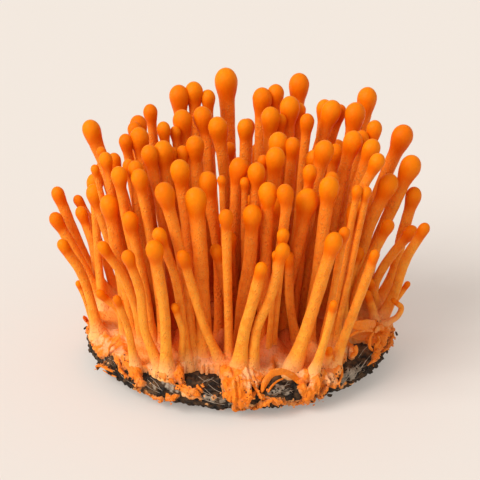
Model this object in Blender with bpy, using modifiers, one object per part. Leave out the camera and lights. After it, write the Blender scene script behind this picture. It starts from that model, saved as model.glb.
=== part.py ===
"""A bunch of cultivated cordyceps: orange club-headed stalks growing from a mycelium mat on a cake of
dark substrate. Metres, +Z up. The origin is the centre of the cake's flat cut underside, +Y runs away
from the side that the photograph shows, and the bunch rests on the plane z = 0."""
import math
from collections import namedtuple

import bmesh
import bpy
import numpy as np
from mathutils import Vector

# Driving dimensions, in metres unless the name says millimetres.
MM = 0.001
MAT_TOP = 0.0090              # height of the mat that the stalks grow from
MAT_SEAT = 0.0076             # underside of the mat, just above the substrate
SUBSTRATE_TOP = 0.0072
CUT_RADIUS = 0.0290           # flat cut patch that the bunch stands on
WAIST_RADIUS = 0.0365         # substrate where its rounded underside turns up
WAIST_HEIGHT = 0.0026
SHOULDER_RADIUS = 0.0390      # substrate under the edge of the mat
RIM_RADIUS = 0.0416           # widest part of the mat
CLEARANCE = 0.0003            # gap left between pieces that touch
FOOT_LIMIT = 0.0375           # feet stay this close to the middle of the mat
FAN_OUT = 1.18                # a head stands this much further out than its foot
HIDDEN_FOOT_PULL = 0.79       # foot of a stalk seen only at its head, as a share of the head's place
HIDDEN_RISE = 0.04            # how much higher than straight such a stalk's middle stands, per length
FOOT_FLARE = 1.38             # foot width against shaft width
FOOT_RISE = 0.0042            # height over which the foot narrows to the shaft
HEAD_DROP = 0.60              # from a head's tip down to its widest ring, in head widths
NECK_DROP = 0.92              # from that ring down to the neck, in head widths
NECK_RADIUS = 0.335           # in head widths
SHAFT_SHARE = 0.60            # shaft width of a stalk whose shaft isn't seen, in head widths
SHAFT_SWELL = 0.12            # how much a shaft widens at each point up to its neck
SMALL_HEAD = 3.0              # heads narrower than this many millimetres are rounded by two rings
NODE_BUDGET = 57              # single stalks and tufts together
TUFT_LIMIT = 5                # most stalks fused at one foot
FILL_SPACING = 0.0056         # free room that a stalk out of the photograph's sight needs
FILL_TRIES = 700
FILL_FRONT = -0.0080           # such stalks stand behind this y, where the photograph doesn't look
FILL_HEIGHT = 0.047
FILL_LOWER_AT_RIM = 0.010
FILL_LEAN = 1.16
FILL_LEAN_AT_RIM = 0.14
FILL_WIDTHS_MM = (3.4, 5.2)
FILL_BOW = 0.03
FILL_HEIGHT_SHARES = (0.86, 1.06)
FILL_STRAY = 0.0008           # how far such a head strays from its place
ROUND_STEPS = 40              # facets round the cake and the mat
STALK_SIDES = 5

# The photograph's view, used to turn pixels of its 480 by 480 frame into places in space.
VIEW_TILT = math.radians(25.0)
VIEW_DISTANCE = 0.500
VIEW_TARGET_HEIGHT = 0.0352
FOCAL_PIXELS = 1852.0
FRAME_CENTRE = 240.0
VIEW_AHEAD = np.array([0.0, math.cos(VIEW_TILT), -math.sin(VIEW_TILT)])
VIEW_UP = np.array([0.0, math.sin(VIEW_TILT), math.cos(VIEW_TILT)])
VIEW_RIGHT = np.array([1.0, 0.0, 0.0])
VIEW_POINT = np.array([0.0, 0.0, VIEW_TARGET_HEIGHT]) - VIEW_DISTANCE * VIEW_AHEAD

# How far back a head stands whose foot is hidden, by its pixel row.
HEAD_ROWS = (70, 80, 100, 120, 140, 160, 180, 195, 215, 265)
HEAD_ROW_DEPTHS_MM = (42, 38, 27, 15, 4, -8, -18, -26, -30, -36)

# The rim's distance from the middle, by direction in degrees: the cake is flatter in front.
RIM_ANGLES = (-180, -165, -150, -134, -121, -107, -90, -72, -56, -42, -29, -15, 0, 12, 30, 60, 90, 120,
              150, 170)
RIM_REACHES_MM = (44.6, 43.0, 41.4, 39.8, 38.4, 37.4, 36.8, 37.2, 37.8, 39.2, 41.2, 42.2, 43.4, 43.2, 41.6,
                  40.4, 40.2, 40.8, 42.4, 44.0)

# Each stalk as read by eye: the centre of its head, points down its shaft and its foot in pixels,
# the widths of head, shaft and, where it is a broad one, foot in millimetres, and how far it stands
# behind its row in millimetres.
Stalk = namedtuple("Stalk", "head width bends foot shaft behind base", defaults=((), None, None, 0.0, None))

OUTER_STALKS = [
    Stalk(head=(58, 194), width=3.6, bends=[(72, 228), (88, 262)], foot=(101, 300), shaft=2.6),
    Stalk(head=(55, 221), width=3.8, bends=[(70, 246), (87, 277)], foot=(96, 310), shaft=2.5),
    Stalk(head=(63, 247), width=3.2, bends=[(79, 271), (90, 300)], foot=(96, 339), shaft=2.5),
    Stalk(head=(78, 282), width=1.7, bends=[(84, 296)], foot=(89, 331), shaft=1.3),
    Stalk(head=(79, 200), width=2.8, bends=[(93, 224), (101, 245)], foot=(108, 296), shaft=2.1),
    Stalk(head=(82, 213), width=3.5, bends=[(92, 240), (98, 272)], foot=(104, 304), shaft=2.2),
    Stalk(head=(102, 249), width=3.4, bends=[(118, 272), (134, 312)], foot=(141, 352), shaft=2.4),
    Stalk(head=(128, 257), width=3.8, bends=[(138, 285), (146, 335)], foot=(160, 370), shaft=2.4),
    Stalk(head=(97, 295), width=2.6, bends=[(114, 310)], foot=(122, 345), shaft=1.9),
    Stalk(head=(117, 300), width=2.4, bends=[(127, 326)], foot=(133, 369), shaft=1.9),
    Stalk(head=(125, 303), width=2.2, foot=(131, 335), shaft=1.8, behind=2.0),
    Stalk(head=(95, 196), width=4.9, bends=[(106, 232), (118, 268)], foot=(128, 320), shaft=2.7),
    Stalk(head=(98, 183), width=4.6, bends=[(99, 240)], foot=(104, 312), shaft=2.2),
    Stalk(head=(113, 205), width=5.3, bends=[(121, 253), (133, 300)], foot=(140, 343), shaft=2.9),
    Stalk(head=(131, 222), width=4.5, bends=[(142, 270)], foot=(156, 352), shaft=2.6),
    Stalk(head=(376, 256), width=2.8, bends=[(363, 292), (348, 332)], foot=(341, 372), shaft=2.5),
    Stalk(head=(361, 257), width=3.0, bends=[(350, 290)], foot=(344, 335), shaft=1.8, behind=2.0),
    Stalk(head=(389, 226), width=3.5, bends=[(373, 255), (359, 290)], foot=(352, 330), shaft=2.4),
    Stalk(head=(410, 233), width=3.6, bends=[(391, 256), (376, 281)], foot=(368, 316), shaft=2.4),
    Stalk(head=(424, 228), width=3.2, bends=[(407, 256), (394, 293)], foot=(383, 322), shaft=2.5),
    Stalk(head=(413, 195), width=4.3, bends=[(402, 235), (391, 277)], foot=(383, 309), shaft=2.8),
    Stalk(head=(407, 284), width=1.7, bends=[(397, 298)], foot=(387, 317), shaft=1.3),
    Stalk(head=(395, 303), width=1.5, bends=[(402, 309), (399, 319)], foot=(389, 333), shaft=1.3),
    Stalk(head=(370, 283), width=2.5, bends=[(375, 296)], foot=(380, 321), shaft=2.0),
    Stalk(head=(366, 294), width=2.2, bends=[(370, 306)], foot=(374, 326), shaft=1.8),
    Stalk(head=(389, 185), width=5.4, bends=[(374, 217), (361, 258)], foot=(350, 318), shaft=3.1),
    Stalk(head=(411, 168), width=5.8, bends=[(395, 204), (376, 248)], foot=(360, 313), shaft=3.3),
    Stalk(head=(402, 137), width=5.9, bends=[(386, 174), (371, 213)], foot=(354, 300), shaft=3.2),
]

FRONT_STALKS = [
    Stalk(head=(155, 251), width=4.9, bends=[(164, 305)], foot=(168, 375), shaft=2.9),
    Stalk(head=(161, 236), width=4.0, bends=[(175, 272), (184, 318)], foot=(190, 368), shaft=2.3,
          behind=0.5),
    Stalk(head=(183, 258), width=3.8, bends=[(192, 288), (207, 334)], foot=(222, 368), shaft=2.4,
          behind=-1.5),
    Stalk(head=(196, 200), width=6.1, bends=[(201, 262)], foot=(205, 362), shaft=3.9, behind=1.0,
          base=6.6),
    Stalk(head=(216, 252), width=3.5, bends=[(226, 292)], foot=(231, 355), shaft=2.4, behind=-0.5),
    Stalk(head=(228, 241), width=4.0, bends=[(231, 280)], foot=(236, 350), shaft=2.2, behind=1.0),
    Stalk(head=(257, 217), width=5.3, bends=[(254, 262), (246, 310)], foot=(243, 360), shaft=3.3),
    Stalk(head=(260, 269), width=3.5, bends=[(252, 300), (242, 335)], foot=(236, 374), shaft=2.9, base=6.6),
    Stalk(head=(284, 251), width=4.0, bends=[(274, 290), (258, 331)], foot=(254, 374), shaft=2.7),
    Stalk(head=(289, 256), width=3.2, bends=[(291, 305)], foot=(299, 353), shaft=2.4, behind=3.0),
    Stalk(head=(308, 199), width=6.1, bends=[(298, 247), (286, 303)], foot=(281, 347), shaft=3.1),
    Stalk(head=(325, 202), width=4.7, bends=[(315, 247), (305, 300)], foot=(300, 344), shaft=2.9,
          behind=1.0),
    Stalk(head=(334, 242), width=4.9, bends=[(322, 279), (307, 328)], foot=(292, 372), shaft=3.1, base=5.2),
    Stalk(head=(356, 211), width=5.4, bends=[(345, 256), (337, 308)], foot=(334, 349), shaft=2.9),
    Stalk(head=(334, 305), width=2.4, bends=[(325, 339)], foot=(318, 379), shaft=2.1),
    Stalk(head=(330, 350), width=1.9, foot=(327, 367), shaft=1.7),
    Stalk(head=(173, 308), width=2.2, bends=[(180, 330)], foot=(179, 369), shaft=1.7),
    Stalk(head=(165, 193), width=5.5, bends=[(178, 243), (189, 308)], foot=(194, 363), shaft=2.7),
    Stalk(head=(206, 179), width=5.3, bends=[(215, 240)], foot=(219, 343), shaft=3.0, behind=3.0),
    Stalk(head=(276, 205), width=4.7, bends=[(269, 250)], foot=(262, 345), shaft=3.0, behind=-1.0),
    Stalk(head=(251, 201), width=4.0, bends=[(243, 240)], foot=(247, 330), shaft=2.7, behind=3.0),
]

INNER_STALKS = [
    Stalk(head=(88, 134), width=5.0, bends=[(99, 165)], shaft=3.3),
    Stalk(head=(101, 150), width=2.8),
    Stalk(head=(109, 157), width=3.8),
    Stalk(head=(123, 144), width=3.8),
    Stalk(head=(118, 179), width=4.6, bends=[(122, 208)]),
    Stalk(head=(127, 164), width=3.5, behind=2.0),
    Stalk(head=(133, 168), width=4.3, bends=[(134, 205)], behind=1.0),
    Stalk(head=(140, 179), width=4.7, bends=[(147, 215)]),
    Stalk(head=(139, 123), width=4.6),
    Stalk(head=(134, 129), width=3.8, behind=-1.0),
    Stalk(head=(142, 139), width=5.3),
    Stalk(head=(148, 152), width=4.7, bends=[(154, 184)]),
    Stalk(head=(156, 113), width=3.9),
    Stalk(head=(162, 132), width=3.8),
    Stalk(head=(164, 152), width=5.4),
    Stalk(head=(172, 151), width=3.2, behind=4.0),
    Stalk(head=(175, 98), width=5.4),
    Stalk(head=(183, 120), width=5.3),
    Stalk(head=(194, 91), width=4.9),
    Stalk(head=(212, 98), width=4.0, behind=3.0),
    Stalk(head=(204, 116), width=5.3, bends=[(211, 148)]),
    Stalk(head=(226, 81), width=6.1, bends=[(228, 120)], shaft=3.8),
    Stalk(head=(218, 128), width=5.3, bends=[(222, 152)]),
    Stalk(head=(245, 128), width=4.3),
    Stalk(head=(261, 100), width=5.3),
    Stalk(head=(277, 93), width=4.6),
    Stalk(head=(268, 121), width=5.3),
    Stalk(head=(299, 85), width=5.5),
    Stalk(head=(291, 106), width=5.5),
    Stalk(head=(300, 109), width=3.8, behind=4.0),
    Stalk(head=(281, 122), width=3.2, behind=4.0),
    Stalk(head=(307, 122), width=4.0),
    Stalk(head=(322, 105), width=4.3, behind=2.0),
    Stalk(head=(331, 109), width=5.4, bends=[(320, 139)]),
    Stalk(head=(341, 110), width=3.8, bends=[(335, 132)], behind=3.0),
    Stalk(head=(354, 114), width=5.7),
    Stalk(head=(367, 99), width=5.5, bends=[(364, 120)]),
    Stalk(head=(373, 128), width=4.3),
    Stalk(head=(353, 142), width=5.3, bends=[(346, 165)]),
    Stalk(head=(361, 139), width=4.0, behind=4.0),
    Stalk(head=(367, 154), width=4.9, bends=[(357, 177)]),
    Stalk(head=(378, 168), width=4.3, bends=[(368, 187)]),
    Stalk(head=(358, 191), width=3.0, behind=3.0),
    Stalk(head=(365, 192), width=3.0, behind=4.0),
    Stalk(head=(277, 143), width=5.5),
    Stalk(head=(294, 147), width=4.3),
    Stalk(head=(324, 150), width=5.4, bends=[(317, 175)]),
    Stalk(head=(281, 162), width=5.5),
    Stalk(head=(310, 172), width=4.0),
    Stalk(head=(257, 172), width=4.9),
    Stalk(head=(265, 161), width=3.0, behind=4.0),
    Stalk(head=(238, 168), width=5.3, bends=[(234, 198)]),
    Stalk(head=(267, 192), width=5.3, behind=4.0),
    Stalk(head=(287, 192), width=4.6, bends=[(289, 212)], behind=3.0),
    Stalk(head=(327, 185), width=5.5, behind=3.0),
    Stalk(head=(334, 178), width=4.0, behind=4.0),
    Stalk(head=(219, 180), width=2.4),
    Stalk(head=(180, 171), width=5.5, bends=[(185, 210)]),
    Stalk(head=(198, 146), width=5.1),
    Stalk(head=(187, 151), width=3.5, behind=4.0),
    Stalk(head=(175, 133), width=3.0, behind=4.0),
    Stalk(head=(89, 166), width=2.4, behind=5.0),
    Stalk(head=(246, 184), width=2.7, behind=4.0),
    Stalk(head=(227, 217), width=4.0, behind=2.0),
    Stalk(head=(284, 237), width=3.5, behind=6.0),
    Stalk(head=(275, 257), width=2.4, behind=7.0),
    Stalk(head=(338, 231), width=3.2, behind=5.0),
]


def outline_swell(x, y):
    """The cake's reach in the direction of a point, as a share of a round one's."""
    angle = math.degrees(math.atan2(y, x))
    return float(np.interp(angle, RIM_ANGLES, RIM_REACHES_MM, period=360.0)) * MM / RIM_RADIUS


def line_of_sight(pixel):
    """The way that a pixel looks, one unit deep."""
    across = (pixel[0] - FRAME_CENTRE) * VIEW_RIGHT + (FRAME_CENTRE - pixel[1]) * VIEW_UP
    return VIEW_AHEAD + across / FOCAL_PIXELS


def place_at_depth(pixel, depth):
    """The point on a pixel's line of sight that has the given y."""
    line = line_of_sight(pixel)
    return VIEW_POINT + line * (depth - VIEW_POINT[1]) / line[1]


def place_on_mat(pixel):
    """The point of the mat's top that a pixel shows."""
    line = line_of_sight(pixel)
    return VIEW_POINT + line * (MAT_TOP - VIEW_POINT[2]) / line[2]


def pixel_of(point):
    """The pixel that shows a point."""
    offset = point - VIEW_POINT
    scale = FOCAL_PIXELS / np.dot(offset, VIEW_AHEAD)
    return np.array([FRAME_CENTRE + scale * offset[0], FRAME_CENTRE - scale * np.dot(offset, VIEW_UP)])


def kept_on_mat(foot):
    """A foot moved in, if need be, to stand on the mat, with its underside just clear of it."""
    reach = math.hypot(foot[0], foot[1]) / outline_swell(foot[0], foot[1])
    inward = min(1.0, FOOT_LIMIT / max(reach, MM))
    return np.array([foot[0] * inward, foot[1] * inward, MAT_TOP + CLEARANCE])


def head_profile(width):
    """Distances below the tip, and radii, of the rings that round off a head."""
    if width < SMALL_HEAD * MM:
        return [(HEAD_DROP * width, 0.50 * width), (0.06 * width, 0.27 * width)]
    return [(HEAD_DROP * width, 0.50 * width), (0.20 * width, 0.385 * width), (0.02 * width, 0.14 * width)]


def control_points(stalk):
    """A stalk's centre line as foot, shaft points, neck and head centre, with a radius at each."""
    if stalk.foot:
        foot = kept_on_mat(place_on_mat(stalk.foot))
        depth = FAN_OUT * foot[1] + stalk.behind * MM
        head = place_at_depth(stalk.head, depth)
    else:
        depth = (np.interp(stalk.head[1], HEAD_ROWS, HEAD_ROW_DEPTHS_MM) + stalk.behind) * MM
        head = place_at_depth(stalk.head, depth)
        foot = kept_on_mat(HIDDEN_FOOT_PULL * head)
    scale = np.dot(head - VIEW_POINT, VIEW_AHEAD) / VIEW_DISTANCE
    width = stalk.width * MM * scale
    shaft = (stalk.shaft or SHAFT_SHARE * stalk.width) * MM * scale
    trail = [np.array(stalk.head, float)] + [np.array(b, float) for b in stalk.bends] + [pixel_of(foot)]
    run = np.concatenate([[0.0], np.cumsum([math.dist(a, b) for a, b in zip(trail, trail[1:])])])
    middle = []
    for bend, part in zip(stalk.bends, run[1:-1] / run[-1]):
        middle.append(place_at_depth(bend, head[1] + (foot[1] - head[1]) * part))
    if not middle:
        middle = [0.5 * (head + foot) + np.array([0.0, 0.0, HIDDEN_RISE]) * math.dist(head, foot)]
    down = middle[0] - head
    neck = head + down / np.linalg.norm(down) * NECK_DROP * width
    rise = foot + (middle[-1] - foot) * min(0.5, FOOT_RISE / (middle[-1][2] - foot[2]))
    points = [foot] + ([rise] if stalk.foot else []) + middle[::-1] + [neck, head]
    base = stalk.base * MM * scale if stalk.base else shaft * FOOT_FLARE
    radii = [0.5 * base] + ([0.5 * shaft] if stalk.foot else [])
    radii += [0.5 * shaft * (1.0 + SHAFT_SWELL * k) for k in range(len(middle))]
    radii += [max(0.5 * shaft * (1.0 + SHAFT_SWELL), NECK_RADIUS * width), 0.5 * width]
    return points, radii


def fill_stalks(feet):
    """Stalks in the free room that the photograph doesn't show, shorter towards the rim."""
    rng = np.random.default_rng(11)
    found = []
    golden = math.pi * (3.0 - math.sqrt(5.0))
    for step in range(FILL_TRIES):
        reach = FOOT_LIMIT * math.sqrt((step + 0.5) / FILL_TRIES)
        spot = np.array([reach * math.cos(golden * step), reach * math.sin(golden * step)])
        spot = spot * outline_swell(spot[0], spot[1])
        nearest = min(math.dist(spot, foot[:2]) for foot in feet)
        if nearest < FILL_SPACING or spot[1] < FILL_FRONT:
            continue
        foot = kept_on_mat(np.array([spot[0], spot[1], 0.0]))
        feet.append(foot)
        share = reach / FOOT_LIMIT
        height = (FILL_HEIGHT - FILL_LOWER_AT_RIM * share ** 3) * rng.uniform(*FILL_HEIGHT_SHARES)
        lean = FILL_LEAN + FILL_LEAN_AT_RIM * share
        head = np.array([foot[0] * lean, foot[1] * lean, foot[2] + height])
        head = head + rng.uniform(-FILL_STRAY, FILL_STRAY, 3)
        width = rng.uniform(*FILL_WIDTHS_MM) * MM
        middle = 0.5 * (head + foot) - np.array([foot[0], foot[1], 0.0]) * FILL_BOW
        neck = head + (middle - head) / np.linalg.norm(middle - head) * NECK_DROP * width
        shaft = SHAFT_SHARE * width
        radii = [0.5 * shaft * FOOT_FLARE, 0.5 * shaft, NECK_RADIUS * width, 0.5 * width]
        found.append(([foot, middle, neck, head], radii))
    return found


# How stalks are moved apart: the number of turns, those in which they are also drawn home and
# strongly straightened, and the shares and limits of each move.
SETTLE_TURNS = 420
HOMING_TURNS = 300
STRAIGHTENING_TURNS = 360
NEIGHBOUR_TURNS = 10          # the list of close pairs is renewed each so many turns
NEIGHBOUR_MARGIN = 0.002
SIDEWAYS_SHARE = 0.30         # how freely a stalk moves across the line of sight
SETTLE_GAP = 0.00048
FUSED_HEIGHT = 0.0030         # below this the stalks of one tuft run together
FUSED_FADE = 0.0040
STEP_LIMIT = 0.0005
STEP_EASE = 0.7
HOMING = 0.02
STRAIGHTENING = 0.20
STRAIGHTENING_AT_END = 0.05
HEAD_FOLLOWS = 0.10           # a head keeps in line with its neck
NECK_FOLLOWS = 0.20
SEEN_FOOT_EASE = 0.35         # a foot that the photograph shows moves less
FOOT_TOUCH = 0.66             # distance between joined feet, as a share of their radii
FOOT_TUG = 0.25


def closest_between(start_a, end_a, start_b, end_b):
    """For pairs of straight runs, how far along each the two come closest."""
    along_a = end_a - start_a
    along_b = end_b - start_b
    between = start_a - start_b
    aa = (along_a * along_a).sum(1)
    bb = (along_b * along_b).sum(1)
    ab = (along_a * along_b).sum(1)
    ca = (along_a * between).sum(1)
    cb = (along_b * between).sum(1)
    share_a = np.clip((ab * cb - ca * bb) / np.maximum(aa * bb - ab * ab, 1e-16), 0.0, 1.0)
    share_b = np.clip((ab * share_a + cb) / bb, 0.0, 1.0)
    share_a = np.clip((ab * share_b - ca) / aa, 0.0, 1.0)
    return share_a, share_b


def gathered(feet):
    """Stalks gathered into tufts, nearest feet first, until the nodes fit the budget, and the
    pairs of feet that hold each tuft together."""
    apart = np.sqrt(((feet[:, None] - feet[None]) ** 2).sum(2))
    reach = apart + np.diag(np.full(len(feet), np.inf))
    groups = [[k] for k in range(len(feet))]
    links = []
    while sum(1 for group in groups if group) > NODE_BUDGET:
        sizes = np.array([len(group) or TUFT_LIMIT for group in groups])
        allowed = sizes[:, None] + sizes[None] <= TUFT_LIMIT
        cost = np.where(allowed, reach + 0.0004 * (sizes[:, None] + sizes[None]), np.inf)
        a, b = np.unravel_index(np.argmin(cost), cost.shape)
        links.append(min(((i, j) for i in groups[a] for j in groups[b]), key=lambda ij: apart[ij]))
        groups[a] = groups[a] + groups[b]
        groups[b] = []
        reach[a] = np.minimum(reach[a], reach[b])
        reach[:, a] = reach[a]
        reach[a, a] = np.inf
    return [sorted(group) for group in groups if group], links


def settled(lines, groups, links, seen):
    """The centre lines moved apart until no two stalks touch above their feet. They move along the
    line of sight where they can, so that each stays where the photograph shows it."""
    points = np.concatenate([np.array(line[0]) for line in lines])
    radii = np.concatenate([np.array(line[1]) for line in lines])
    owner = np.concatenate([np.full(len(line[0]), k) for k, line in enumerate(lines)])
    group_of = np.zeros(len(lines), int)
    for number, group in enumerate(groups):
        group_of[group] = number
    begin = np.nonzero(owner[:-1] == owner[1:])[0]
    first = np.nonzero(np.diff(owner, prepend=-1))[0]
    inner = np.nonzero((owner[:-2] == owner[1:-1]) & (owner[1:-1] == owner[2:]))[0] + 1
    last = np.append(first[1:], len(points)) - 1
    ease = np.where(seen, SEEN_FOOT_EASE, 1.0)
    home = points.copy()
    ahead = np.outer(VIEW_AHEAD, VIEW_AHEAD)
    loose = ahead + SIDEWAYS_SHARE * (np.eye(3) - ahead)
    for turn in range(SETTLE_TURNS):
        if turn % NEIGHBOUR_TURNS == 0:
            middle = 0.5 * (points[begin] + points[begin + 1])
            half = 0.5 * np.sqrt(((points[begin + 1] - points[begin]) ** 2).sum(1))
            half = half + np.maximum(radii[begin], radii[begin + 1])
            away = np.sqrt(((middle[:, None] - middle[None]) ** 2).sum(2))
            near = away < half[:, None] + half[None] + NEIGHBOUR_MARGIN
            near &= owner[begin][:, None] < owner[begin][None]
            one, two = np.nonzero(near)
            one, two = begin[one], begin[two]
            kin = group_of[owner[one]] == group_of[owner[two]]
        share_one, share_two = closest_between(points[one], points[one + 1], points[two], points[two + 1])
        so, st = share_one[:, None], share_two[:, None]
        near_one = points[one] * (1 - so) + points[one + 1] * so
        near_two = points[two] * (1 - st) + points[two + 1] * st
        need = radii[one] * (1 - share_one) + radii[one + 1] * share_one + SETTLE_GAP
        need = need + radii[two] * (1 - share_two) + radii[two + 1] * share_two
        height = np.minimum(near_one[:, 2], near_two[:, 2]) - MAT_TOP
        need = need * np.where(kin, np.clip((height - FUSED_HEIGHT) / FUSED_FADE, 0.0, 1.0), 1.0)
        apart = near_one - near_two + 1e-7 * VIEW_AHEAD
        distance = np.sqrt((apart ** 2).sum(1))
        short = np.maximum(need - distance, 0.0)
        normal = apart / distance[:, None]
        eased = (normal[:, None, :] * loose[None]).sum(2)
        push = eased * (0.5 * short / (eased * normal).sum(1))[:, None]
        shift = np.zeros_like(points)
        spread_one = (1 - so) ** 2 + so ** 2
        spread_two = (1 - st) ** 2 + st ** 2
        np.add.at(shift, one, push * (1 - so) / spread_one)
        np.add.at(shift, one + 1, push * so / spread_one)
        np.add.at(shift, two, -push * (1 - st) / spread_two)
        np.add.at(shift, two + 1, -push * st / spread_two)
        length = np.sqrt((shift ** 2).sum(1))
        shift *= np.minimum(1.0, STEP_LIMIT / np.maximum(length, 1e-9))[:, None]
        shift[first] *= ease[:, None]
        points += STEP_EASE * shift
        moved = points - home
        if turn < HOMING_TURNS:
            moved -= HOMING * (moved - (moved[:, None, :] * ahead[None]).sum(2))
        bend = moved[inner - 1] - 2 * moved[inner] + moved[inner + 1]
        moved[inner] += (STRAIGHTENING if turn < STRAIGHTENING_TURNS else STRAIGHTENING_AT_END) * bend
        nod = moved[last] - moved[last - 1]
        moved[last] -= HEAD_FOLLOWS * nod
        moved[last - 1] += NECK_FOLLOWS * nod
        points = home + moved
        for a, b in links:
            gap = points[first[b]] - points[first[a]]
            wide = math.hypot(gap[0], gap[1])
            over = wide - FOOT_TOUCH * (radii[first[a]] + radii[first[b]])
            tug = gap / max(wide, 1e-6) * over * FOOT_TUG
            points[first[a]] += tug * ease[a] / (ease[a] + ease[b])
            points[first[b]] -= tug * ease[b] / (ease[a] + ease[b])
        points[first, 2] = MAT_TOP + CLEARANCE
        turned_to = np.degrees(np.arctan2(points[first, 1], points[first, 0]))
        limit = np.interp(turned_to, RIM_ANGLES, RIM_REACHES_MM, period=360.0)
        limit = limit * MM / RIM_RADIUS * FOOT_LIMIT
        out = np.hypot(points[first, 0], points[first, 1])
        points[first, :2] *= np.minimum(1.0, limit / np.maximum(out, MM))[:, None]
    return [(points[a:b + 1], radii[a:b + 1]) for a, b in zip(first, last)]


def finished_line(points, radii):
    """The rings of a stalk from its foot to the rounded top of its head."""
    along = points[-1] - points[-2]
    along = along / np.linalg.norm(along)
    width = 2.0 * radii[-1]
    rings = list(zip(points[:-1], radii[:-1]))
    top = points[-1] + along * HEAD_DROP * width
    return rings + [(top - along * below, radius) for below, radius in head_profile(width)]


def plain_material(name, colour, roughness):
    material = bpy.data.materials.new(name)
    material.use_nodes = True
    shader = material.node_tree.nodes["Principled BSDF"]
    shader.inputs["Base Color"].default_value = (*colour, 1.0)
    shader.inputs["Roughness"].default_value = roughness
    return material


def mesh_object(name, mesh, collection, material=None):
    thing = bpy.data.objects.new(name, mesh)
    if material:
        mesh.materials.clear()
        mesh.materials.append(material)
    collection.objects.link(thing)
    return thing


def baked(thing):
    """A mesh of what an object evaluates to, with its loose caps welded and all faces triangles."""
    bpy.context.view_layer.update()
    mesh = bpy.data.meshes.new_from_object(thing.evaluated_get(bpy.context.evaluated_depsgraph_get()))
    shape = bmesh.new()
    shape.from_mesh(mesh)
    bmesh.ops.remove_doubles(shape, verts=shape.verts, dist=0.00001)
    bmesh.ops.triangulate(shape, faces=shape.faces)
    bmesh.ops.recalc_face_normals(shape, faces=shape.faces)
    shape.to_mesh(mesh)
    shape.free()
    return mesh


def stalk_mesh(name, rings, section, guides):
    """One stalk: a tube along its centre line whose width follows the rings."""
    curve = bpy.data.curves.new(name, "CURVE")
    curve.dimensions = "3D"
    curve.bevel_mode = "OBJECT"
    curve.bevel_object = section
    curve.use_fill_caps = True
    spline = curve.splines.new("POLY")
    spline.points.add(len(rings) - 1)
    for point, (place, radius) in zip(spline.points, rings):
        point.co = (*place, 1.0)
        point.radius = radius / MM
    thing = bpy.data.objects.new(name, curve)
    guides.objects.link(thing)
    mesh = baked(thing)
    bpy.data.objects.remove(thing)
    bpy.data.curves.remove(curve)
    foot, flare = Vector(rings[0][0]), rings[0][1]
    for vertex in mesh.vertices:
        if (vertex.co - foot).length < 1.2 * flare:
            vertex.co.z = foot.z
    return mesh


def section_curve(guides):
    """A stalk's cross-section, 1 mm in radius."""
    curve = bpy.data.curves.new("stalk_section", "CURVE")
    curve.dimensions = "2D"
    spline = curve.splines.new("POLY")
    spline.points.add(STALK_SIDES - 1)
    for k, point in enumerate(spline.points):
        angle = 2.0 * math.pi * k / STALK_SIDES
        point.co = (MM * math.cos(angle), MM * math.sin(angle), 0.0, 1.0)
    spline.use_cyclic_u = True
    thing = bpy.data.objects.new("stalk_section", curve)
    thing.hide_render = True
    thing.display_type = "WIRE"
    guides.objects.link(thing)
    return thing


def join(thing, other):
    """One solid from two that overlap; the other stays behind as a guide."""
    other.hide_render = True
    other.display_type = "WIRE"
    union = thing.modifiers.new(other.name, "BOOLEAN")
    union.operation = "UNION"
    union.solver = "EXACT"
    union.object = other


def fused(name, meshes, collection, guides, material):
    """One node from stalks that share a foot: the first stalk, with the others joined to it."""
    thing = mesh_object(name, meshes[0], collection, material)
    for number, mesh in enumerate(meshes[1:]):
        join(thing, mesh_object(f"{name}_grown_{number + 1}", mesh, guides, material))
    thing.data.shade_smooth()
    return thing


def turned(name, profile, reshape, collection, guides, material):
    """A solid turned from a profile of (radius, height) points, then reshaped point by point."""
    mesh = bpy.data.meshes.new(name)
    corners = [(radius, 0.0, height) for radius, height in profile]
    mesh.from_pydata(corners, [(k, k + 1) for k in range(len(corners) - 1)], [])
    blank = mesh_object(name + "_profile", mesh, guides)
    screw = blank.modifiers.new("turned", "SCREW")
    screw.steps = ROUND_STEPS
    screw.render_steps = ROUND_STEPS
    screw.use_merge_vertices = True
    screw.merge_threshold = 0.00001
    solid = baked(blank)
    bpy.data.objects.remove(blank)
    for vertex in solid.vertices:
        vertex.co = reshape(vertex.co)
    thing = mesh_object(name, solid, collection, material)
    thing.data.shade_smooth()
    return thing


# How far the mat hangs down over the side of the cake, from 0 to 1, by direction in degrees, and how
# far in and down its hem goes where it hangs lowest.
SKIRT_ANGLES = (-180, -165, -140, -129, -117, -112, -107, -101, -95, -88, -83, -78, -60, -50, -43, -25, 0,
                30, 60, 90, 120, 150, 180)
SKIRT_DROPS = (0.2, 0.1, 0.2, 0.9, 0.8, 0.4, 0.7, 0.2, 0.9, 0.9, 0.3, 0.9, 0.95, 0.6, 0.15, 0.1, 0.1,
               0.3, 0.7, 0.3, 0.8, 0.3, 0.2)
LIP_REACH = 0.0004            # the mat's seat ends this far outside the cake's shoulder
RIM_INSET = 0.0010            # the hem's lower edge against the rim
RIM_BEVEL = 0.0018            # how far inside the rim the mat's top ends
HEM_INNER_IN = 0.00240
HEM_INNER_DOWN = 0.00440
HEM_OUTER_IN = 0.00200
HEM_OUTER_DOWN = 0.00450
RIM_DOWN = 0.00120
HEM_MARGIN = 0.0008           # the hem starts this far outside the shoulder
RIM_WAVES = ((13, 1.0, 0.010), (7, 0.0, 0.006))   # number round the rim, phase and share of its reach


def reshaped_substrate(corner):
    swell = outline_swell(corner.x, corner.y)
    return Vector((corner.x * swell, corner.y * swell, corner.z))


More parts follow.
